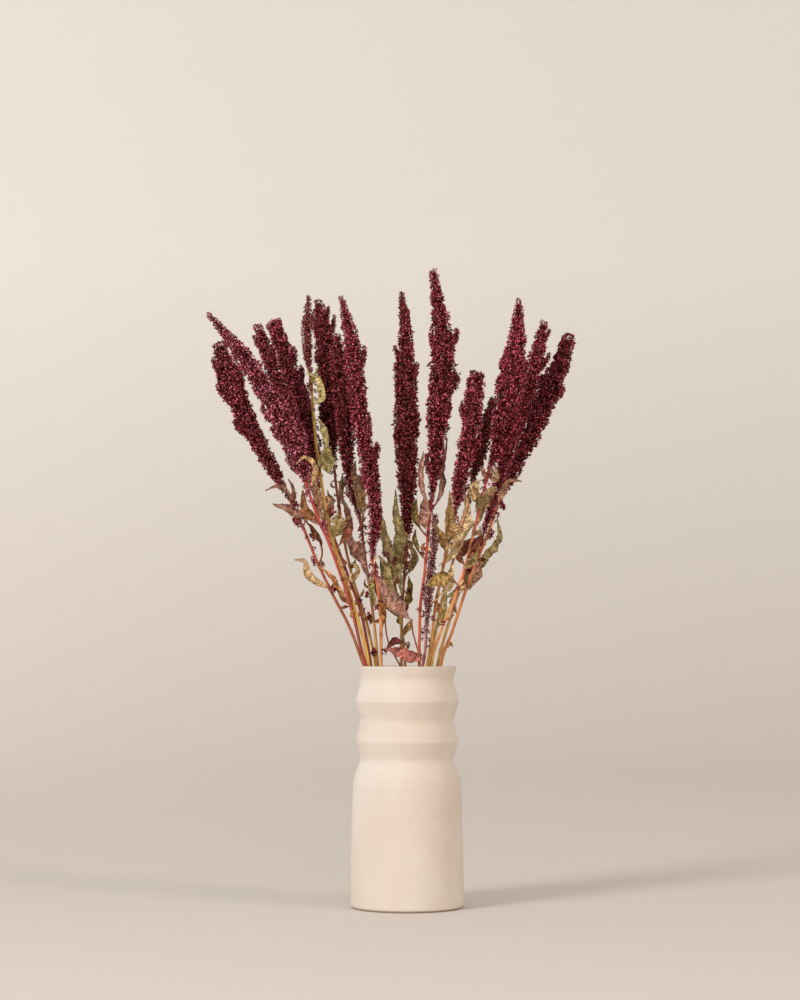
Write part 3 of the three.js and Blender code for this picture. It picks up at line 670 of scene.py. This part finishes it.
# Florets
def bud_shape():
    """A pointed bud along +Z: its points, and the share of the tip's colour at each."""
    turns = circle(BUD_SIDES)
    ring = np.stack([np.cos(turns) / 2, np.sin(turns) / 2, np.full(BUD_SIDES, BUD_WAIST)], 1)
    points = np.vstack([[0, 0, 0], ring, [0, 0, 1]])
    side = np.arange(BUD_SIDES)
    after = (side + 1) % BUD_SIDES
    low = np.stack([np.zeros(BUD_SIDES, int), 1 + after, 1 + side], 1)
    high = np.stack([np.full(BUD_SIDES, BUD_SIDES + 1), 1 + side, 1 + after], 1)
    return points, np.vstack([low, high]), np.concatenate([[0], np.full(BUD_SIDES, 0.45), [1]])


def spun_axes(along, dice):
    """Two directions square to each one given, at a random turn about it."""
    across = unit(np.cross(along, unit(dice.normal(size=along.shape))))
    return across, np.cross(along, across)


def add_buds(clay, roots, headings, lengths, widths, dark, light, dice):
    shape, faces, share = bud_shape()
    count = len(roots)
    across, other = spun_axes(headings, dice)
    uneven = 1 + dice.uniform(-0.22, 0.22, (count, len(shape)))
    points = (
        roots[:, None]
        + (across[:, None] * shape[None, :, :1] + other[:, None] * shape[None, :, 1:2])
        * (widths[:, None] * uneven)[..., None]
        + headings[:, None] * (shape[None, :, 2:] * lengths[:, None, None])
    )
    # Each bud's root is painted dark as shade where the buds crowd together, and its colour lightens towards
    # the tip
    root_shade = dark[:, None] * ROOT_SHADE
    tints = root_shade + (share ** 1.3)[None, :, None] * (light[:, None] - root_shade)
    offsets = (np.arange(count) * len(shape))[:, None, None]
    clay.add(points, [(faces[None] + offsets).reshape(-1, 3)], tints.reshape(-1, 3))


def cluster_buds(centres, outward, size, dice):
    """Buds that stand out of each cluster's middle in all the outward directions."""
    index = (np.arange(CLUSTER_BUDS) + 0.5) / CLUSTER_BUDS
    height = 1 - 1.02 * index
    turn = math.pi * (1 + 5 ** 0.5) * np.arange(CLUSTER_BUDS)
    flat = np.sqrt(np.clip(1 - height ** 2, 0, 1))
    dome = np.stack([np.cos(turn) * flat, np.sin(turn) * flat, height], 1)
    across, other = spun_axes(outward, dice)
    ways = (dome[None, :, :1] * across[:, None] + dome[None, :, 1:2] * other[:, None]
            + dome[None, :, 2:] * outward[:, None])
    ways = unit(ways + dice.normal(0, 0.22, ways.shape))
    reach = size[:, None, None] * CLUSTER_RADIUS * 0.45
    roots = centres[:, None] + ways * reach
    return roots.reshape(-1, 3), ways.reshape(-1, 3), np.repeat(size, CLUSTER_BUDS)


def paint_clusters(clay, centres, outward, sizes, tints, dice):
    """Adds the buds of every cluster, each cluster in a tone of its own and a few buds' tips lit with a
    painted highlight.
    """
    dark, light = (linear(colour) for colour in tints)
    roots, headings, scale = cluster_buds(centres, outward, sizes, dice)
    count = len(roots)
    tone = np.repeat(dice.uniform(0, 1, len(centres)), CLUSTER_BUDS) * 0.6 + dice.uniform(0, 0.4, count)
    shade = (0.5 + 0.8 * tone)[:, None]
    # Each bud's tip takes a row of tones; the last row is a painted highlight
    tip_tone_and_highlight = shade * BUD_TONE_AND_HIGHLIGHT[dice.choice(len(BUD_TONE_AND_HIGHLIGHT), count, p=BUD_TONE_AND_HIGHLIGHT_SHARES)]
    lengths = dice.uniform(*BUD_LENGTH, count) * scale
    widths = dice.uniform(*BUD_WIDTH, count) * scale
    add_buds(clay, roots, headings, lengths, widths, dark * shade, light * tip_tone_and_highlight, dice)


def surface_clusters(curve, start, end, radius_at, dice):
    """Middles, outward directions and sizes of clusters packed over a tube's skin."""
    centres, outward, sizes = [], [], []
    distance = start
    number = 0
    while distance < end:
        radius = max(float(radius_at(distance)), 0.5)
        size = float(np.clip(0.5 + radius / 10, 0.58, 1))
        step = CLUSTER_STEP * size
        count = max(3, round(2 * math.pi * radius / step))
        angles = (np.arange(count) / count + GOLDEN_SHARE * number) * 2 * math.pi
        angles += dice.normal(0, 0.16, count)
        places = np.clip(distance + dice.normal(0, 0.2 * CLUSTER_STEP * size, count), start, end)
        radii = radius * (1 + dice.normal(0, 0.1, count))
        radii += LUMP * radius * np.sin(distance / 4.3 + 2 * angles + 1.7 * np.sin(distance / 9.1))
        skin = curve.around(places, angles, radii)
        centres.append(skin)
        outward.append(curve.upturned(places, skin))
        sizes.append(np.full(count, size))
        distance += step * 0.86
        number += 1
    return np.vstack(centres), np.vstack(outward), np.concatenate(sizes)


def loose_clusters(curve, neck, number, dice):
    """A few small clusters down the bare stem below the plume."""
    spots, angles, sizes = [], [], []
    for step, below in enumerate(LOOSE_SPOTS):
        for k in range(max(1, 4 - step)):
            spots.append(neck - below + dice.uniform(-2, 2))
            angles.append(math.radians(GOLDEN_ANGLE * (step + k * 1.7) + PLUME_TURN * number))
            sizes.append(0.95 - 0.07 * step)
    skin = curve.around(spots, angles, NECK_RADIUS + dice.uniform(0.6, 1.6, len(spots)))
    return skin, curve.upturned(spots, skin), np.array(sizes)


def finger_curve(curve, neck, share, bearing, reach):
    """A finger's own curve, rising out of the spike and standing beside it."""
    tip_at = neck + (curve.length - neck) * share
    root_at = max(tip_at - FINGER_LENGTH, neck + 2)
    angle = math.radians(bearing)
    root = curve.place(root_at)[0]
    bend = curve.around(root_at + (tip_at - root_at) * FINGER_BEND[0], angle, reach * FINGER_BEND[1])
    return Curve(bent_line(root, bend, curve.around(tip_at, angle, reach), FINGER_STEPS))


def finger_rows(stem, curve, neck, number):
    """The fingers seen in front, and the others by rule, a golden angle on from each other."""
    rows = list(stem.get("fingers", []))
    count = round((curve.length - neck) / FINGER_SPACING)
    for step in range(count):
        share = (step + 0.9) / (count + 0.4)
        reach = RULE_REACH[0] * float(spread(stem["girth"], share)) + RULE_REACH[1]
        rows.append([share, GOLDEN_ANGLE * step + PLUME_TURN * number, reach])
    return rows


def add_plume(stem, curve, neck, number):
    name = stem["name"]
    dice = np.random.default_rng(PLUME_SEED + number)
    clay = Clay()
    # The tube inside the plume is painted dark as shade between the clusters
    core_shade_tint = linear(PLUME_TINTS[name][0]) * CORE_PAINTED_SHADE
    length = curve.length - neck
    half = lambda at: spread(stem["girth"], (at - neck) / length) / 2
    depth = CLUSTER_RADIUS * 1.15

    core_at = np.arange(neck - 1, curve.length - 3, 4.0)
    core = np.maximum(half(core_at) - depth * 1.1, 0.8)[:, None] * np.ones(CORE_SIDES[0])
    add_tube(clay, curve, core_at, core, core_shade_tint)

    groups = [surface_clusters(curve, neck, curve.length - 2, lambda at: half(at) - depth, dice)]
    for share, bearing, reach in finger_rows(stem, curve, neck, number):
        side = finger_curve(curve, neck, share, bearing, reach)
        thick = max(float(spread(stem["girth"], share)) * FINGER_GIRTH, FINGER_LEAST) / 2
        shape = lambda at, side=side: spread(FINGER_SHAPE, at / side.length)
        width = lambda at, shape=shape, thick=thick: thick * shape(at) - depth * 0.8
        core_at = np.linspace(0, side.length * 0.9, 6)
        core = np.maximum(width(core_at), 0.6)[:, None] * np.ones(CORE_SIDES[1])
        add_tube(clay, side, core_at, core, core_shade_tint)
        groups.append(surface_clusters(side, side.length * 0.2, side.length - 1, width, dice))
    groups.append(loose_clusters(curve, neck, number, dice))
    centres, outward = (np.vstack([group[k] for group in groups]) for k in (0, 1))
    sizes = np.concatenate([group[2] for group in groups]) * dice.uniform(0.75, 1.3, len(centres))
    paint_clusters(clay, centres, outward, sizes, PLUME_TINTS[name], dice)
    clay.piece(f"florets_{name}", floret_finish, frame_slots[f"plume_{name}"], f"plume_{name}")


def add_tufts(name, curve, number):
    """Small tufts of florets left on the bare stem."""
    dice = np.random.default_rng(TUFT_SEED + number)
    clay = Clay()
    spots, angles, reaches = [], [], []
    for height, bearing, reach, count in TUFTS[name]:
        spots.append(curve.at_height(height) + dice.normal(0, 1.9, count))
        angles.append(math.radians(bearing) + dice.normal(0, 0.6, count))
        reaches.append(NECK_RADIUS + reach * dice.uniform(0.15, 0.9, count))
    spots = np.concatenate(spots)
    middles = curve.around(spots, np.concatenate(angles), np.concatenate(reaches))
    sizes = dice.uniform(0.75, 1.2, len(middles))
    tints = PLUME_TINTS.get(name, PLUME_TINTS["b"])
    paint_clusters(clay, middles, curve.upturned(spots, middles), sizes, tints, dice)
    clay.piece(f"tufts_{name}", floret_finish, "plumes_red", f"leafy_stem_{name}")


# Stems
def add_stem(stem, curve, neck, number):
    name = stem["name"]
    clay = Clay()
    mouth_at = curve.at_height(VASE_HEIGHT - TINT_DEPTH)
    inside = np.linspace(0, mouth_at, STEPS_INSIDE)[:-1]
    distances = np.concatenate([inside, np.arange(mouth_at, neck + 4, STEM_STEP)])
    angles = circle(STEM_SIDES)
    radius = FOOT_RADIUS + (NECK_RADIUS - FOOT_RADIUS) * (distances / neck)
    ribs = 1 + RIB_DEPTH * np.cos(5 * angles[None] + 0.02 * distances[:, None] + number)
    wrinkles = 1 + WRINKLE_DEPTH * ground(distances / 4, number)[:, None]
    knots = np.zeros_like(distances)
    for _, height, *_ in stem["leaves"]:
        knots += np.exp(-((distances - curve.at_height(height)) / KNOT_LENGTH) ** 2)
    radii = radius[:, None] * ribs * wrinkles * (1 + KNOT_SWELL * knots[:, None])

    base, top = (linear(colour) for colour in STEM_TINTS[name])
    blend = np.clip((distances - mouth_at) / (neck - mouth_at), 0, 1) ** 1.2
    blend = np.clip(blend + 0.16 * ground(distances / 22, 50 + number), 0, 1)[:, None, None]
    sway = angles[None] + 0.6 * ground(distances / 40, 70 + number)[:, None]
    # Stripes along the stem: its own striped colour, made strong enough to also stand for painted highlight
    # lines
    stripes_and_highlights = 1 + 0.3 * np.sin(3 * sway + number) + 0.16 * np.sin(7 * sway + 2 * number)
    tint = (base + (top - base) * blend) * stripes_and_highlights[..., None]
    patches = ground(distances / 18, 90 + number)[:, None]
    blush = np.clip(0.6 * np.sin(2 * sway + 1.3 * number) * patches, 0, 0.6)
    tint = tint * (1 - blush[..., None]) + linear(BLUSH_COLOUR) * blush[..., None]
    tint = tint * (1 - 0.35 * np.clip(knots, 0, 1)[:, None, None])
    add_tube(clay, curve, distances, radii, tint)
    clay.piece(f"stalk_{name}", stem_finish, frame_slots[f"leafy_stem_{name}"], f"leafy_stem_{name}")


# Leaves
def leaf_curve(curve, row):
    height, _, back, _, _, _, *points = row
    root = curve.place(curve.at_height(height))[0]
    stops = [(right, root[1] + back * (i + 1) / len(points), up) for i, (right, up) in enumerate(points)]
    return Curve(smooth_line([root, *stops]))


def leaf_axes(way, share, facing, twist):
    """A blade's middle line, with the directions across it and out of its face."""
    spine, along, _, _ = way.place(share[:, 0] * way.length)
    level = unit(np.cross(along, FRONT))
    turn = np.radians(facing + twist * share)
    across = level * np.cos(turn) + np.cross(along, level) * np.sin(turn)
    return spine, across, np.cross(across, along)


def rolled_section(u, roll):
    """How far to the side and how high a blade's section goes when its margins roll up."""
    bend = LEAF_FOLD + roll * np.clip(np.abs(u) - 0.25, 0, 1) ** 1.5
    side = np.cumsum(np.cos(bend), 1)
    lift = np.cumsum(np.sin(bend) * np.sign(u), 1)
    centre = u.shape[1] // 2
    side = side - side[:, centre:centre + 1]
    lift = lift - lift[:, centre:centre + 1]
    reach = np.maximum(np.abs(side).max(1, keepdims=True), 0.45 * centre)
    return side / reach, np.minimum(np.abs(lift) / reach, 0.95)


def leaf_tints(base, bare, share, u, rib, veins, crumple, noise):
    """The colours of a blade's two sides: darker at margin and tip, with painted shade in the crumple's
    hollows and painted light on its ridges, brown in patches, red on the stalk.
    """
    pale = 1.05 + 0.3 * rib + 0.32 * (0.45 - veins) + 0.2 * noise(14, 5)
    # The crumple term paints shade into the blade's hollows and light onto its ridges
    dark = 1 - 0.35 * np.abs(u) ** 5 - 0.3 * share ** 6 + 0.55 * crumple
    tint = base * np.clip(pale * dark, 0.3, 1.8)[..., None]
    brown = np.clip(0.5 * noise(18, 6) - 0.08, 0, 0.6)[..., None]
    tint = tint * (1 - brown) + base * WITHERED * brown
    red = (np.clip((bare - share) / 0.12, 0, 1) * 0.75 + 0 * u)[..., None]
    tint = tint * (1 - red) + linear(STALK_COLOUR) * red
    under = tint[:, ::-1] * 0.6 + base * 0.55
    return np.concatenate([tint, under], 1).reshape(-1, 3)


def add_leaf(clay, curve, row, colour, seed):
    """A blade on its stalk, with a row of points for each step along it."""
    _, bare, _, width, facing, twist, *_ = row
    way = leaf_curve(curve, row)
    steps = int(np.clip(way.length / LEAF_STEP, *LEAF_STEPS))
    share = np.linspace(0, 1, steps)[:, None]
    u = np.linspace(-1, 1, LEAF_COLUMNS)[None]
    edge, sign = np.abs(u), np.sign(u)
    x, y = share * way.length, u * width / 2
    noise = lambda scale, layer, v=y: ground_plane(x, v, scale, seed + layer)

    blade = np.clip((share - bare) / (1 - bare), 0, 1)
    swell = np.sin(math.pi * blade ** LEAF_SWELL)
    part = np.clip(swell * 1.7, 0, 1)
    ragged = LEAF_FULLNESS + RAGGED * noise(12, 0, 9.0 * sign) + 0.5 * RAGGED * noise(4, 7, 9.0 * sign)
    half = np.maximum(width * swell * ragged, LEAF_STALK * (1 - 0.7 * blade)) / 2
    roll = np.clip(1.9 + 2.0 * noise(26, 1, 5.0 * sign), 0.1, 4.2)
    side, lift = rolled_section(u + 0 * share, roll)
    wave = LEAF_WAVE * np.sin(LEAF_WAVES * share) * sign * edge ** 1.5
    slant = x / VEIN_STEP - 0.6 * np.abs(y) / VEIN_STEP + 0.3 * noise(12, 8)
    veins = np.abs(np.sin(math.pi * slant))
    crumple = 0.7 * noise(8, 2) + 0.5 * noise(3.6, 3)
    size = min(width / 12, 1.2)
    dents = part * (PUCKER * size * (veins - 0.6) * (1 - edge ** 4) + CRUMPLE * crumple * size)
    sway = part * (0.09 * width * noise(22, 4, 0 * x))
    spine, across, face = leaf_axes(way, share, facing, twist)
    surface = (
        spine[:, None]
        + across[:, None] * (side * half)[..., None]
        + face[:, None] * (half * part * (0.9 * lift + wave) + dents + sway)[..., None]
    )

    normal = unit(np.cross(np.gradient(surface, axis=1), np.gradient(surface, axis=0)))
    rib = np.exp(-(u * half / RIB_WIDTH) ** 2)
    thick = LEAF_THIN + (1 - part) * (LEAF_STALK / 2 - LEAF_THIN) * 0.8
    top = surface + normal * (thick + 0.1 * rib)[..., None]
    bottom = surface - normal * (thick + 0.35 * rib * (1 - 0.8 * share))[..., None]
    rings = np.concatenate([top, bottom[:, ::-1]], 1)
    points = np.vstack([rings.reshape(-1, 3), rings[0].mean(0), rings[-1].mean(0)])
    base = linear(colour) * np.random.default_rng(seed).uniform(0.85, 1.1)
    tints = leaf_tints(base, bare, share, u, rib, veins, crumple, noise)
    flat = np.stack([x + 0 * y, y + 0 * x, 0 * x * y], -1)
    flat = np.concatenate([flat, flat[:, ::-1]], 1).reshape(-1, 3)
    ends = [0, -1]
    faces = skin_faces(steps, 2 * LEAF_COLUMNS)
    clay.add(points, faces, np.vstack([tints, tints[ends]]), np.vstack([flat, flat[ends]]))


def scrap_row(curve, height, dice):
    """A short curled bit of dry leaf, in the same terms as a leaf."""
    length, side = dice.uniform(*SCRAP_LENGTH), dice.choice([-1, 1])
    lean, curl = dice.uniform(0.2, 1.4), dice.uniform(-2.4, 0.6)
    root = curve.place(curve.at_height(height))[0]
    spot, points = np.array([root[0], root[2]]), []
    for step in range(3):
        angle = lean + curl * step / 2
        spot = spot + length / 3 * np.array([side * math.sin(angle), math.cos(angle)])
        points.append(tuple(spot))
    back, width = dice.uniform(-7, 3), dice.uniform(*SCRAP_WIDTH)
    return [height, 0.1, back, width, dice.uniform(-40, 40), dice.uniform(-90, 90), *points]


def add_leaves(stem, curve, number):
    name = stem["name"]
    clay = Clay()
    own_seed = SEEDS_A_STEM * number
    for seed, rows in ((LEAF_SEED, stem["leaves"]), (MORE_LEAF_SEED, MORE_LEAVES.get(name, []))):
        for index, (word, *row) in enumerate(rows):
            add_leaf(clay, curve, row, LEAF_COLOURS[word], seed + own_seed + index)
    dice = np.random.default_rng(SCRAP_SEED + number)
    lowest, highest = SCRAP_HEIGHTS
    highest = min(curve.line[-1, 2] - 10, highest)
    for index, height in enumerate(np.linspace(lowest, highest, SCRAPS)):
        row = scrap_row(curve, height + dice.uniform(-16, 8), dice)
        colour = LEAF_COLOURS[str(dice.choice(SCRAP_COLOURS))]
        add_leaf(clay, curve, row, colour, SCRAP_LEAF_SEED + own_seed + index)
    clay.piece(f"leaves_{name}", leaf_finish, "leaves", f"leafy_stem_{name}")


# The vase
def rounded(outline, radii):
    """The outline with each corner rounded off by about its radius."""
    points = np.asarray(outline, float)
    line = [points[:1]]
    for i in range(1, len(points) - 1):
        before, after = points[i - 1] - points[i], points[i + 1] - points[i]
        cut = min(radii[i], np.linalg.norm(before) * 0.45, np.linalg.norm(after) * 0.45)
        start, end = points[i] + unit(before) * cut, points[i] + unit(after) * cut
        line.append(bent_line(start, points[i], end, CORNER_STEPS))
    return np.vstack([*line, points[-1:]])


def vase_outline():
    turns = [(radius, up) for up, radius in TURNS]
    outside = [
        (0, 0), (BODY_RADIUS - FOOT_BEVEL[0], 0), (BODY_RADIUS, FOOT_BEVEL[1]),
        MIDDLE[::-1], SHOULDER[::-1], *turns, (RIM_RADIUS, VASE_HEIGHT),
    ]
    inside = [
        (RIM_RADIUS - LIP, VASE_HEIGHT), *[(radius - WALL, up) for radius, up in turns[::-1]],
        (SHOULDER[1] - WALL - 1, SHOULDER[0]), (BODY_RADIUS - WALL - 2, FLOOR + 8),
        (BODY_RADIUS - WALL - 8, FLOOR), (0, FLOOR),
    ]
    return rounded([*outside, *inside], CORNERS)


def add_vase():
    line = vase_outline()
    fine = Curve(np.column_stack([line[:, 0], np.zeros(len(line)), line[:, 1]]))
    least, most = OUTLINE_STEP
    at = np.unique(np.concatenate([fine.at, np.arange(0, fine.length, most)]))
    keep = np.concatenate([[True], np.diff(at) > least])
    profile = fine.place(at)[0][keep][1:-1]
    radii, heights = profile[:, :1], profile[:, 2:]
    wobble = 1 + WOBBLE * np.sin(2 * circle(VASE_SIDES)[None] + heights / 40)
    rings = turned(radii * wobble, heights, VASE_SIDES)
    clay = Clay()
    points = np.vstack([rings.reshape(-1, 3), (0, 0, 0), (0, 0, FLOOR)])
    clay.add(points, skin_faces(len(rings), VASE_SIDES), (1, 1, 1))
    clay.piece("vase_body", ceramic_material(), "ceramic", "vase")


# Materials
class Finish:
    """A node material with one shader."""

    def __init__(self, name, roughness, **settings):
        self.material = bpy.data.materials.new(name)
        self.material.use_nodes = True
        self.tree = self.material.node_tree
        self.shader = self.tree.nodes["Principled BSDF"]
        self.shader.inputs["Roughness"].default_value = roughness
        for key, value in settings.items():
            self.shader.inputs[key.replace("_", " ").title().replace("Ior", "IOR")].default_value = value

    def node(self, kind, values=None, **settings):
        node = self.tree.nodes.new("ShaderNode" + kind)
        for key, value in settings.items():
            setattr(node, key, value)
        for key, value in (values or {}).items():
            if isinstance(value, bpy.types.NodeSocket):
                self.tree.links.new(value, node.inputs[key])
            else:
                node.inputs[key].default_value = value
        return node

    def noise(self, scale, detail=3, stretch=(1, 1, 1)):
        """Noise over the object. stretch is how tight it is each way."""
        place = self.node("TexCoord").outputs["Object"]
        spread_out = self.node("Mapping", {"Vector": place, "Scale": stretch}).outputs["Vector"]
        return self.node("TexNoise", {"Vector": spread_out, "Scale": scale, "Detail": detail}).outputs["Fac"]

    def rise(self, low, high):
        """A value that goes from 0 to 1 between two heights in metres."""
        height = self.node("SeparateXYZ", {"Vector": self.node("TexCoord").outputs["Object"]}).outputs["Z"]
        return self.node("MapRange", {"Value": height, "From Min": low, "From Max": high}).outputs["Result"]

    def math(self, operation, *values):
        return self.node("Math", dict(enumerate(values)), operation=operation).outputs["Value"]

    def ramp(self, factor, *stops):
        """Colours by a factor. Each stop is a position and a colour or a level of grey."""
        node = self.node("ValToRGB", {"Fac": factor})
        elements = node.color_ramp.elements
        while len(elements) < len(stops):
            elements.new(0.5)
        for element, (position, colour) in zip(elements, stops):
            element.position = position
            element.color = (*np.broadcast_to(colour, 3), 1)
        return node.outputs["Color"]

    def multiply(self, a, b):
        return self.node("Mix", {0: 1, 6: a, 7: b}, data_type="RGBA", blend_type="MULTIPLY").outputs[2]

    def blend(self, factor, under, over):
        """The colour under with a plain colour laid over it by the factor."""
        return self.node("Mix", {0: factor, 6: under, 7: (*over, 1)}, data_type="RGBA").outputs[2]

    def colour(self, socket):
        self.tree.links.new(socket, self.shader.inputs["Base Color"])

    def bump(self, height, distance, strength):
        node = self.node("Bump", {"Height": height, "Distance": distance, "Strength": strength})
        self.tree.links.new(node.outputs["Normal"], self.shader.inputs["Normal"])

    def tint(self):
        return self.node("VertexColor", layer_name="tint").outputs["Color"]


def floret_material():
    finish = Finish("dried_florets", 0.9, specular_ior_level=0.02)
    mottle = finish.ramp(finish.noise(650, 2), (0.35, (0.4, 0.3, 0.33)), (0.6, 1.0))
    # Small specks of painted highlight over the florets
    highlight_flecks = finish.ramp(finish.noise(850, 1), (0.6, 0.0), (0.7, 0.8))
    base = finish.multiply(finish.tint(), mottle)
    finish.colour(finish.blend(highlight_flecks, base, paint(HIGHLIGHT_FLECK_COLOUR)))
    finish.bump(finish.noise(2600, 2), 0.0004, 0.4)
    return finish.material


def leaf_material():
    finish = Finish("dried_leaf", 0.8, specular_ior_level=0.15)
    flat = finish.node("Attribute", attribute_name="blade").outputs["Vector"]
    flat = finish.node("SeparateXYZ", {"Vector": flat}).outputs
    aside = finish.math("MULTIPLY", finish.math("ABSOLUTE", flat["Y"]), 0.7)
    slant = finish.math("SUBTRACT", flat["X"], aside)
    shaken = finish.math("ADD", slant, finish.math("MULTIPLY", finish.noise(240, 2), 5))
    wave = finish.math("SINE", finish.math("MULTIPLY", shaken, 2 * math.pi / FINE_VEIN_STEP))
    height = finish.math("ADD", finish.math("MULTIPLY", wave, 0.5), finish.noise(700, 4))
    veins = finish.ramp(height, (0.15, (0.56, 0.44, 0.38)), (0.6, 0.95), (0.95, 1.0))
    finish.colour(finish.multiply(finish.tint(), veins))
    finish.bump(height, 0.0008, 0.8)
    return finish.material


def stem_material():
    finish = Finish("dried_stem", 0.6, specular_ior_level=0.35)
    streak = finish.ramp(finish.noise(420, 4, (1, 1, 0.12)), (0.3, (0.66, 0.52, 0.46)), (0.6, 1.0))
    finish.colour(finish.multiply(finish.tint(), streak))
    finish.bump(finish.noise(900, 3, (1, 1, 0.1)), 0.0004, 0.5)
    return finish.material


def ceramic_material():
    finish = Finish("bisque_ceramic", 0.72, specular_ior_level=0.3)
    cloud = finish.ramp(finish.noise(14, 4), (0.35, paint(CLAY_SHADE)), (0.65, paint(CLAY_COLOUR)))
    rings = finish.noise(26, 3, (0.25, 0.25, 34))
    lines = finish.ramp(rings, (0.3, 0.95), (0.7, 1.0))
    edge = finish.ramp(finish.rise(0.0006, 0.0028), (0.0, (0.66, 0.5, 0.36)), (1.0, 1.0))
    finish.colour(finish.multiply(finish.multiply(cloud, lines), edge))
    finish.bump(finish.math("ADD", rings, finish.noise(900, 3)), 0.0003, 0.35)
    return finish.material


def studio_material():
    finish = Finish("studio_paint", 0.95, specular_ior_level=0.1)
    finish.colour(finish.ramp(finish.rise(0, 1.6), (0.0, paint(FLOOR_COLOUR)), (1.0, paint(WALL_COLOUR))))
    return finish.material


# The camera, the stage and the light
def add_camera():
    focal = CAMERA_DISTANCE / (MM_PER_PIXEL * MM)
    pitch = math.atan((HORIZON_ROW - PHOTO_HEIGHT / 2) / focal)
    data = bpy.data.cameras.new("camera")
    data.sensor_width = SENSOR
    data.lens = SENSOR * focal / PHOTO_HEIGHT
    camera = add_object("camera", data)
    sideways = (PHOTO_WIDTH / 2 - VASE_COLUMN) * MM_PER_PIXEL * MM
    camera.location = (sideways, -CAMERA_DISTANCE, CAMERA_HEIGHT)
    camera.rotation_euler = (math.pi / 2 + pitch, 0, 0)
    bpy.context.scene.camera = camera


def add_studio():
    """A round pale studio: a flat floor that sweeps slowly up into a wall."""
    t = np.linspace(0, math.pi / 2, SWEEP_STEPS)[1:]
    sweep = WALL_RADIUS - FLOOR_RADIUS
    flat = np.linspace(FLOOR_MIDDLE, FLOOR_RADIUS, 12)
    profile = np.vstack([
        np.column_stack([flat, 0 * flat]),
        np.column_stack([FLOOR_RADIUS + sweep * np.sin(t), sweep * (1 - np.cos(t))]),
        [(WALL_RADIUS, WALL_TOP)],
    ])
    rings = turned(profile[:, :1], profile[:, 1:], STUDIO_SIDES)
    points = np.vstack([rings.reshape(-1, 3), (0, 0, 0)])
    walls, middle, _ = skin_faces(len(rings), STUDIO_SIDES)
    mesh = bpy.data.meshes.new("studio")
    mesh.from_pydata((points * MM).tolist(), [], [*walls.tolist(), *middle.tolist()])
    mesh.polygons.foreach_set("use_smooth", np.ones(len(mesh.polygons), bool))
    mesh.materials.append(studio_material())
    studio = add_object("studio", mesh)


def add_light(name, place, target, size, power, colour):
    data = bpy.data.lights.new(name, "AREA")
    data.shape = "DISK"
    data.size = size
    data.energy = power
    data.color = colour
    light = add_object(name, data)
    light.location = place
    light.rotation_euler = (Vector(target) - Vector(place)).to_track_quat("-Z", "Y").to_euler()
    light.visible_camera = False


def add_lights():
    world = bpy.data.worlds.new("world")
    world.use_nodes = True
    background = world.node_tree.nodes["Background"].inputs
    background["Color"].default_value = WORLD_COLOUR
    background["Strength"].default_value = WORLD_STRENGTH
    bpy.context.scene.world = world
    for name, row in LIGHTS.items():
        add_light(name, *row)
    bpy.context.scene.view_settings.view_transform = "Standard"


frame_slots = {row["node"]: row["material_slot"] for row in frame["record"]["subparts"]}
floret_finish = floret_material()
leaf_finish = leaf_material()
stem_finish = stem_material()

add_camera()
add_studio()
add_lights()
add_vase()
for number, stem in enumerate(STEMS):
    curve, neck = stem_curve(stem)
    add_stem(stem, curve, neck, number)
    add_leaves(stem, curve, number)
    if "girth" in stem:
        add_plume(stem, curve, neck, number)
    if stem["name"] in TUFTS:
        add_tufts(stem["name"], curve, number)
